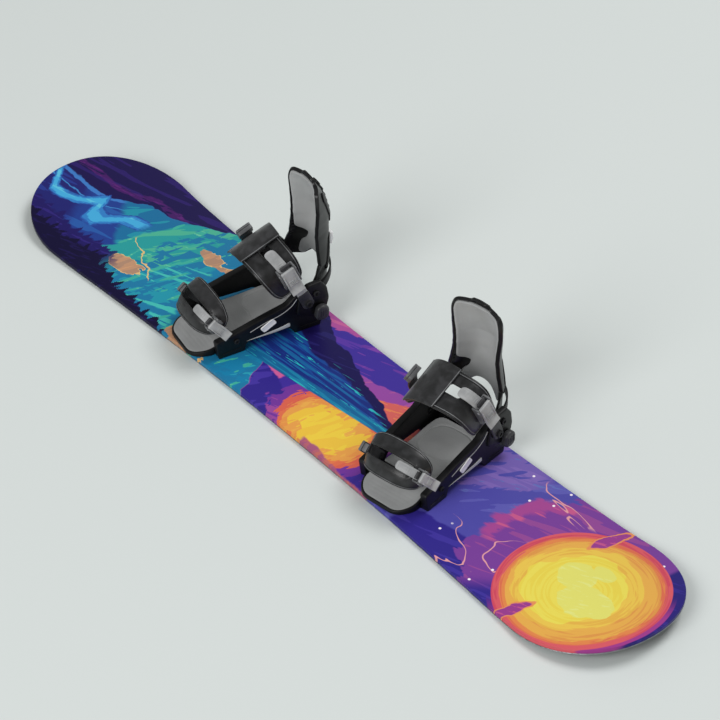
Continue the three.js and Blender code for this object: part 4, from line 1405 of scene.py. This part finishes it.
def rail_inlays():
    """The pale lens set into each rail's arch."""
    lens = rounded([
        (-38, 20.2, 1), (-6, 21.6, 20), (30, 24.2, 8), (46, 27.5, 3), (47, 19, 3), (16, 17.8, 20),
    ], 6, 5)
    right = side_plate(lens, 70.2, 71.8, step=3, edge=0.5)
    return combined(right, flipped(right))


def rail_ridges():
    """The fine moulded ridge that runs up each rail from its inlay to the heel wing."""
    path, length = smooth_path([(-30, 36), (0, 45), (30, 51), (50, 61), (60, 72)])
    spots = path(np.linspace(0, length, 40))
    ridge = swept(np.column_stack([np.full(40, 71.0), spots]), 0.8, 8)
    return combined(ridge, flipped(ridge))


def heel_knob():
    outline = rounded([(89, 26), (92, 48), (103, 52), (115, 46), (115, 25), (102, 20)], 8, 8)
    parts = [side_plate(outline, 75.4, 87, step=3, edge=3.2)]
    for y in 95 + 4.6 * np.arange(4):
        parts.append(side_plate(rounded(rectangle(y, y + 1.8, 30, 43), 0.8), 86.0, 88.0, step=3, edge=0.6))
    return combined(*parts)


# ---- Board ----
def rise(x):
    return KICK_RISE * np.maximum(0, (np.abs(x) - KICK_START) / (BOARD_LENGTH / 2 - KICK_START)) ** 2


def board_stations(inset_by):
    """(x, half width) from the nose to the tail, drawn inset from the board's outline."""
    tip_angles = np.linspace(0, math.pi / 2, 61)[1:]
    power = 2 / TIP_ROUNDNESS
    tip_x = CONTACT + (BOARD_LENGTH / 2 - CONTACT - inset_by) * np.sin(tip_angles) ** power
    tip_half = (BOARD_WIDEST / 2 - inset_by) * np.maximum(0, np.cos(tip_angles)) ** power
    tip_half[-1] = 0
    middle_x = np.concatenate([np.linspace(0, KICK_START, 40), np.linspace(KICK_START, CONTACT, 9)[1:]])
    side = BOARD_WAIST / 2 + (BOARD_WIDEST - BOARD_WAIST) / 2 * (middle_x / CONTACT) ** 2 - inset_by
    x = np.concatenate([middle_x, tip_x])
    half = np.concatenate([side, tip_half])
    return np.concatenate([-x[:0:-1], x]), np.concatenate([half[:0:-1], half])


def board_layer(section):
    """A layer of the board. section lists (inset, height) from the layer's bottom centre round
    its rim to its top centre."""
    rings = []
    for inset_by, height in section:
        x, half = board_stations(inset_by)
        rings.append((x, half, height + rise(x)))
    points, faces = [], []
    count = len(rings[0][0])
    for x, half, z in rings:
        points.append(np.column_stack([x, half, z]))
        points.append(np.column_stack([x, -half, z]))
    for i in range(len(rings) - 1):
        for side in (0, 1):
            low, high = (2 * i + side) * count, (2 * i + 2 + side) * count
            for k in range(count - 1):
                face = (low + k, high + k, high + k + 1, low + k + 1)
                faces.append(face if side == 0 else face[::-1])
    for k in range(count - 1):
        faces.append((k, k + 1, count + k + 1, count + k))
        top = (2 * len(rings) - 2) * count
        faces.append((top + k, top + count + k, top + count + k + 1, top + k + 1))
    return np.concatenate(points), faces


def board_ring(width, low, high, edge):
    """A rim that runs all round the board, such as the steel edge or the sidewall."""
    section = [(width, low), (edge, low), (0, low + edge), (0, high - edge), (edge, high), (width, high)]
    points, faces = [], []
    for inset_by, height in section:
        x, half = board_stations(inset_by)
        z = height + rise(x)
        loop = np.concatenate([np.column_stack([x, half, z]), np.column_stack([x, -half, z])[-2:0:-1]])
        points.append(loop)
    count, rows = len(points[0]), len(section)
    for i in range(rows):
        for k in range(count):
            a, b = i * count + k, i * count + (k + 1) % count
            c, d = ((i + 1) % rows) * count + (k + 1) % count, ((i + 1) % rows) * count + k
            faces.append((a, b, c, d))
    return np.concatenate(points), faces


# ---- Putting the pieces in the row frame ----
def placement(prefix):
    """Where a binding sits: its stance joint gives the centre, its ankle joint the turn."""
    centre = Vector(JOINTS[f"{prefix}_stance_turn"]["pos_m"])
    axis = JOINTS[f"{prefix}_ankle_swing"]["axis"]
    turn = Matrix.Rotation(math.atan2(axis[1], axis[0]), 4, "Z")
    return Matrix.Translation(centre) @ turn @ Matrix.Scale(MM, 4)


def add_piece(name, solid, body, material, slot=None, nodes=(), fill=None, crease=38):
    mesh = mesh_from(name, solid)
    merge_close_points(mesh)
    mesh.materials.append(material)
    mesh.shade_smooth()
    mesh.set_sharp_from_angle(angle=math.radians(crease))
    obj = bpy.data.objects.new(name, mesh)
    bpy.context.scene.collection.objects.link(obj)
    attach(obj, body)
    if nodes:
        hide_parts(*nodes)


def merge_close_points(mesh):
    work = bmesh.new()
    work.from_mesh(mesh)
    bmesh.ops.remove_doubles(work, verts=work.verts, dist=2e-6)
    bmesh.ops.dissolve_degenerate(work, edges=work.edges, dist=1e-7)
    work.to_mesh(mesh)
    work.free()


def add_board(looks):
    def layer(name, solid, material, slot, crease=38):
        points, faces = solid
        add_piece(
            name, (points * MM, faces), "board", looks[material], slot, [name.removeprefix("fine_")],
            crease=crease,
        )
    layer("fine_topsheet", board_layer([
        (0.6, CORE_TOP + GAP), (0.6, BOARD_TOP - 0.45), (0.8, BOARD_TOP - 0.15), (1.2, BOARD_TOP),
    ]), "landscape", "topsheet", 60)
    layer("fine_board_base", board_layer([(2.5, 0), (2.5, BASE_TOP)]), "base", "base")
    layer("fine_board_core", board_layer([(6.3, BASE_TOP + GAP), (6.3, CORE_TOP)]), "wood", "core")
    layer("fine_steel_edge", board_ring(2.2, 0, BASE_TOP, 0.2), "steel", "edge")
    layer("fine_sidewall", board_ring(6, BASE_TOP + GAP, CORE_TOP + 0.2, 0.7), "landscape", "sidewall")


def binding_pieces():
    """Rows of (piece, solid, body, material, slot), then the CAD node that it stands for, if any,
    and the fill of a padded piece."""
    ankle, toe = "ankle_strap", "toe_cap"
    rows = [
        ("baseplate", chassis(), "frame", "black", "black_plastic", "chassis"),
        ("rail_inlays", rail_inlays(), "frame", "pale_foam", "grey_foam"),
        ("rail_ridges", rail_ridges(), "frame", "light_grey", "light_grey"),
        ("footbed_foam", footbed(), "frame", "foam", "grey_foam", "footbed"),
        ("ramp_rim", ramp_rim(), "frame", "black", "black_plastic", "toe_ramp"),
        # The ramp pad wears a darker copy of the grey foam: painted shade.
        ("ramp_foam", ramp_pad(), "frame", "ramp_foam", "grey_foam"),
        ("hoop", heel_hoop(), "frame", "black", "black_plastic", "heel_hoop"),
        ("shell", highback_shell(), "highback", "gloss_black", "black_plastic", "highback_shell"),
        ("shell_spine", highback_spine(), "highback", "black", "black_plastic"),
        ("back_pad", highback_pad(), "highback", "foam", "grey_foam", "highback_pad", 0.9),
        ("lean_slider", lean_block(), "lean_block", "white", "light_grey", "lean_adjuster"),
        ("ankle_cushion", ankle_pad(), ankle, "strap", "strap", "ankle_pad", 0.8),
        ("ankle_welt", ankle_welt(), ankle, "welt", "strap"),
        ("ankle_seam", ankle_seam(), ankle, "seam", "strap"),
        ("band_seam", band_seam(), ankle, "seam", "strap"),
        ("ankle_anchor", ankle_anchor(), ankle, "dark_grey", "dark_grey"),
        ("ankle_cover", ankle_band(), ankle, "strap_band", "strap", "ankle_band"),
        ("ankle_far_web", ankle_far_strap(), ankle, "strap", "strap", "ankle_far_strap"),
        ("ankle_length_slider", far_slider(), ankle, "mid_grey", "light_grey"),
        ("ankle_teeth", ankle_ladder(), ankle, "light_grey", "light_grey", "ankle_ladder"),
        ("ankle_ratchet", buckle_base(ANKLE_BUCKLE), ankle, "mid_grey", "dark_grey", "ankle_buckle"),
        ("ankle_pawl", ladder_clip(ANKLE_BUCKLE), ankle, "dark_grey", "dark_grey"),
        (
            "ankle_handle", buckle_lever(ANKLE_BUCKLE), "ankle_crank", "light_grey", "light_grey",
            "ankle_lever",
        ),
        ("toe_cushion", toe_strap(), toe, "strap", "strap", "toe_strap", 0.7),
        ("toe_welt", toe_welt(), toe, "welt", "strap"),
        ("toe_seam", toe_seam(), toe, "seam", "strap"),
        ("toe_far_tab", toe_far_tab(), toe, "dark_grey", "dark_grey"),
        ("toe_far_adjuster", toe_far_adjuster(), toe, "mid_grey", "light_grey"),
        ("toe_teeth", toe_ladder(), toe, "light_grey", "light_grey", "toe_ladder"),
        ("toe_ratchet", buckle_base(TOE_BUCKLE), toe, "mid_grey", "dark_grey", "toe_buckle"),
        ("toe_pawl", ladder_clip(TOE_BUCKLE), toe, "dark_grey", "dark_grey"),
        ("toe_handle", buckle_lever(TOE_BUCKLE), "toe_crank", "light_grey", "light_grey", "toe_lever"),
        ("lock_knob_grip", heel_knob(), "lock_knob", "dark_grey", "dark_grey", "heel_knob"),
    ]
    for side, sign in (("near", 1), ("far", -1)):
        pins = (
            ("highback_pin", HIGHBACK_PIVOT, 51, 75.4, 6, 5.5),
            ("ankle_bolt", ANKLE_BOLT, 63.6, 82, 7, 6),
            ("toe_bolt", TOE_BOLT, 53.8, 71.3, 5, 5.5),
        )
        for node, place, inner, head_from, head, flange in pins:
            solid = side_pin(place, sign, inner, head_from, head, flange)
            rows.append((f"{node}_{side}_turned", solid, "frame", "bolt", "black_plastic", f"{node}_{side}"))
        rows.append((f"badge_{side}_inset", badge(sign), "frame", "white", "white", f"badge_{side}"))
    return rows


def add_disc(prefix, looks):
    solid = moved(mounting_disc(), placement(prefix))
    add_piece(f"{prefix}_disc_plate", solid, "board", looks["black"], "black_plastic", [f"{prefix}_disc"])
    profile = [(0.3, 0), (5.2, 0), (5.6, 0.5), (5.6, 2.2), (4.8, 3), (3.0, 3), (2.8, 1.4), (0.3, 1.4)]
    screw = moved(revolved(profile, 36, facets={5, 6}), Matrix.Rotation(-math.pi / 2, 4, "Y"))
    screws = [
        moved(screw, placement(prefix) @ Matrix.Translation((x, y, 5.1)))
        for x in (-20, 20) for y in (-20, 20)
    ]
    add_piece(f"{prefix}_disc_screws", combined(*screws), "board", looks["steel"], "edge")


def add_bindings(looks):
    rows = binding_pieces()
    for prefix in ("front", "rear"):
        place = placement(prefix)
        for name, solid, body, material, slot, *rest in rows:
            add_piece(
                f"{prefix}_{name}", moved(solid, place), f"{prefix}_{body}", looks[material], slot,
                [f"{prefix}_{node}" for node in rest[:1]], *rest[1:],
            )
        add_disc(prefix, looks)


def finishes():
    return {
        "landscape": landscape(),
        "base": sintered_base(),
        "wood": wood(),
        "steel": metal("ground_steel", "85888d", 0.32, (1, 8, 8)),
        "bolt": plastic("matt_black_bolt", "0d0d0e", "222224", 0.55, shine=0.25),
        "black": plastic("black_plastic", "080809", "161617", 0.42, shine=0.28),
        "gloss_black": plastic("gloss_black_plastic", "060607", "131314", 0.34, shine=0.4),
        "dark_grey": plastic("dark_grey_plastic", "2a2a2c", "454548", 0.42, shine=0.35),
        "mid_grey": plastic("mid_grey_plastic", "505153", "757678", 0.42, shine=0.4),
        "light_grey": plastic("light_grey_plastic", "8f9091", "b4b5b6", 0.4),
        "white": plastic("white_plastic", "e9e9e9", "ffffff", 0.35),
        "strap": leather("strap_leather", "131314", "2a2a2c", 0.38),
        "strap_band": leather("strap_band_leather", "1b1b1c", "343436", 0.36),
        "welt": leather("strap_welt", "070708", "141415", 0.4),
        "seam": leather("strap_seam", "5e5f61", "858688", 0.5),
        "foam": foam("grey_foam", "a2a3a3", "b0b1b1"),
        # The grey foam made darker as painted shade, for the ramp pad, which faces the lamps fully.
        "ramp_foam": foam("ramp_foam", "8f9090", "9e9f9f"),
        "pale_foam": foam("pale_foam", "b9bbbb", "cacccc"),
    }


add_camera()
add_floor(floor_paint())
add_light()
looks = finishes()
add_board(looks)
add_bindings(looks)
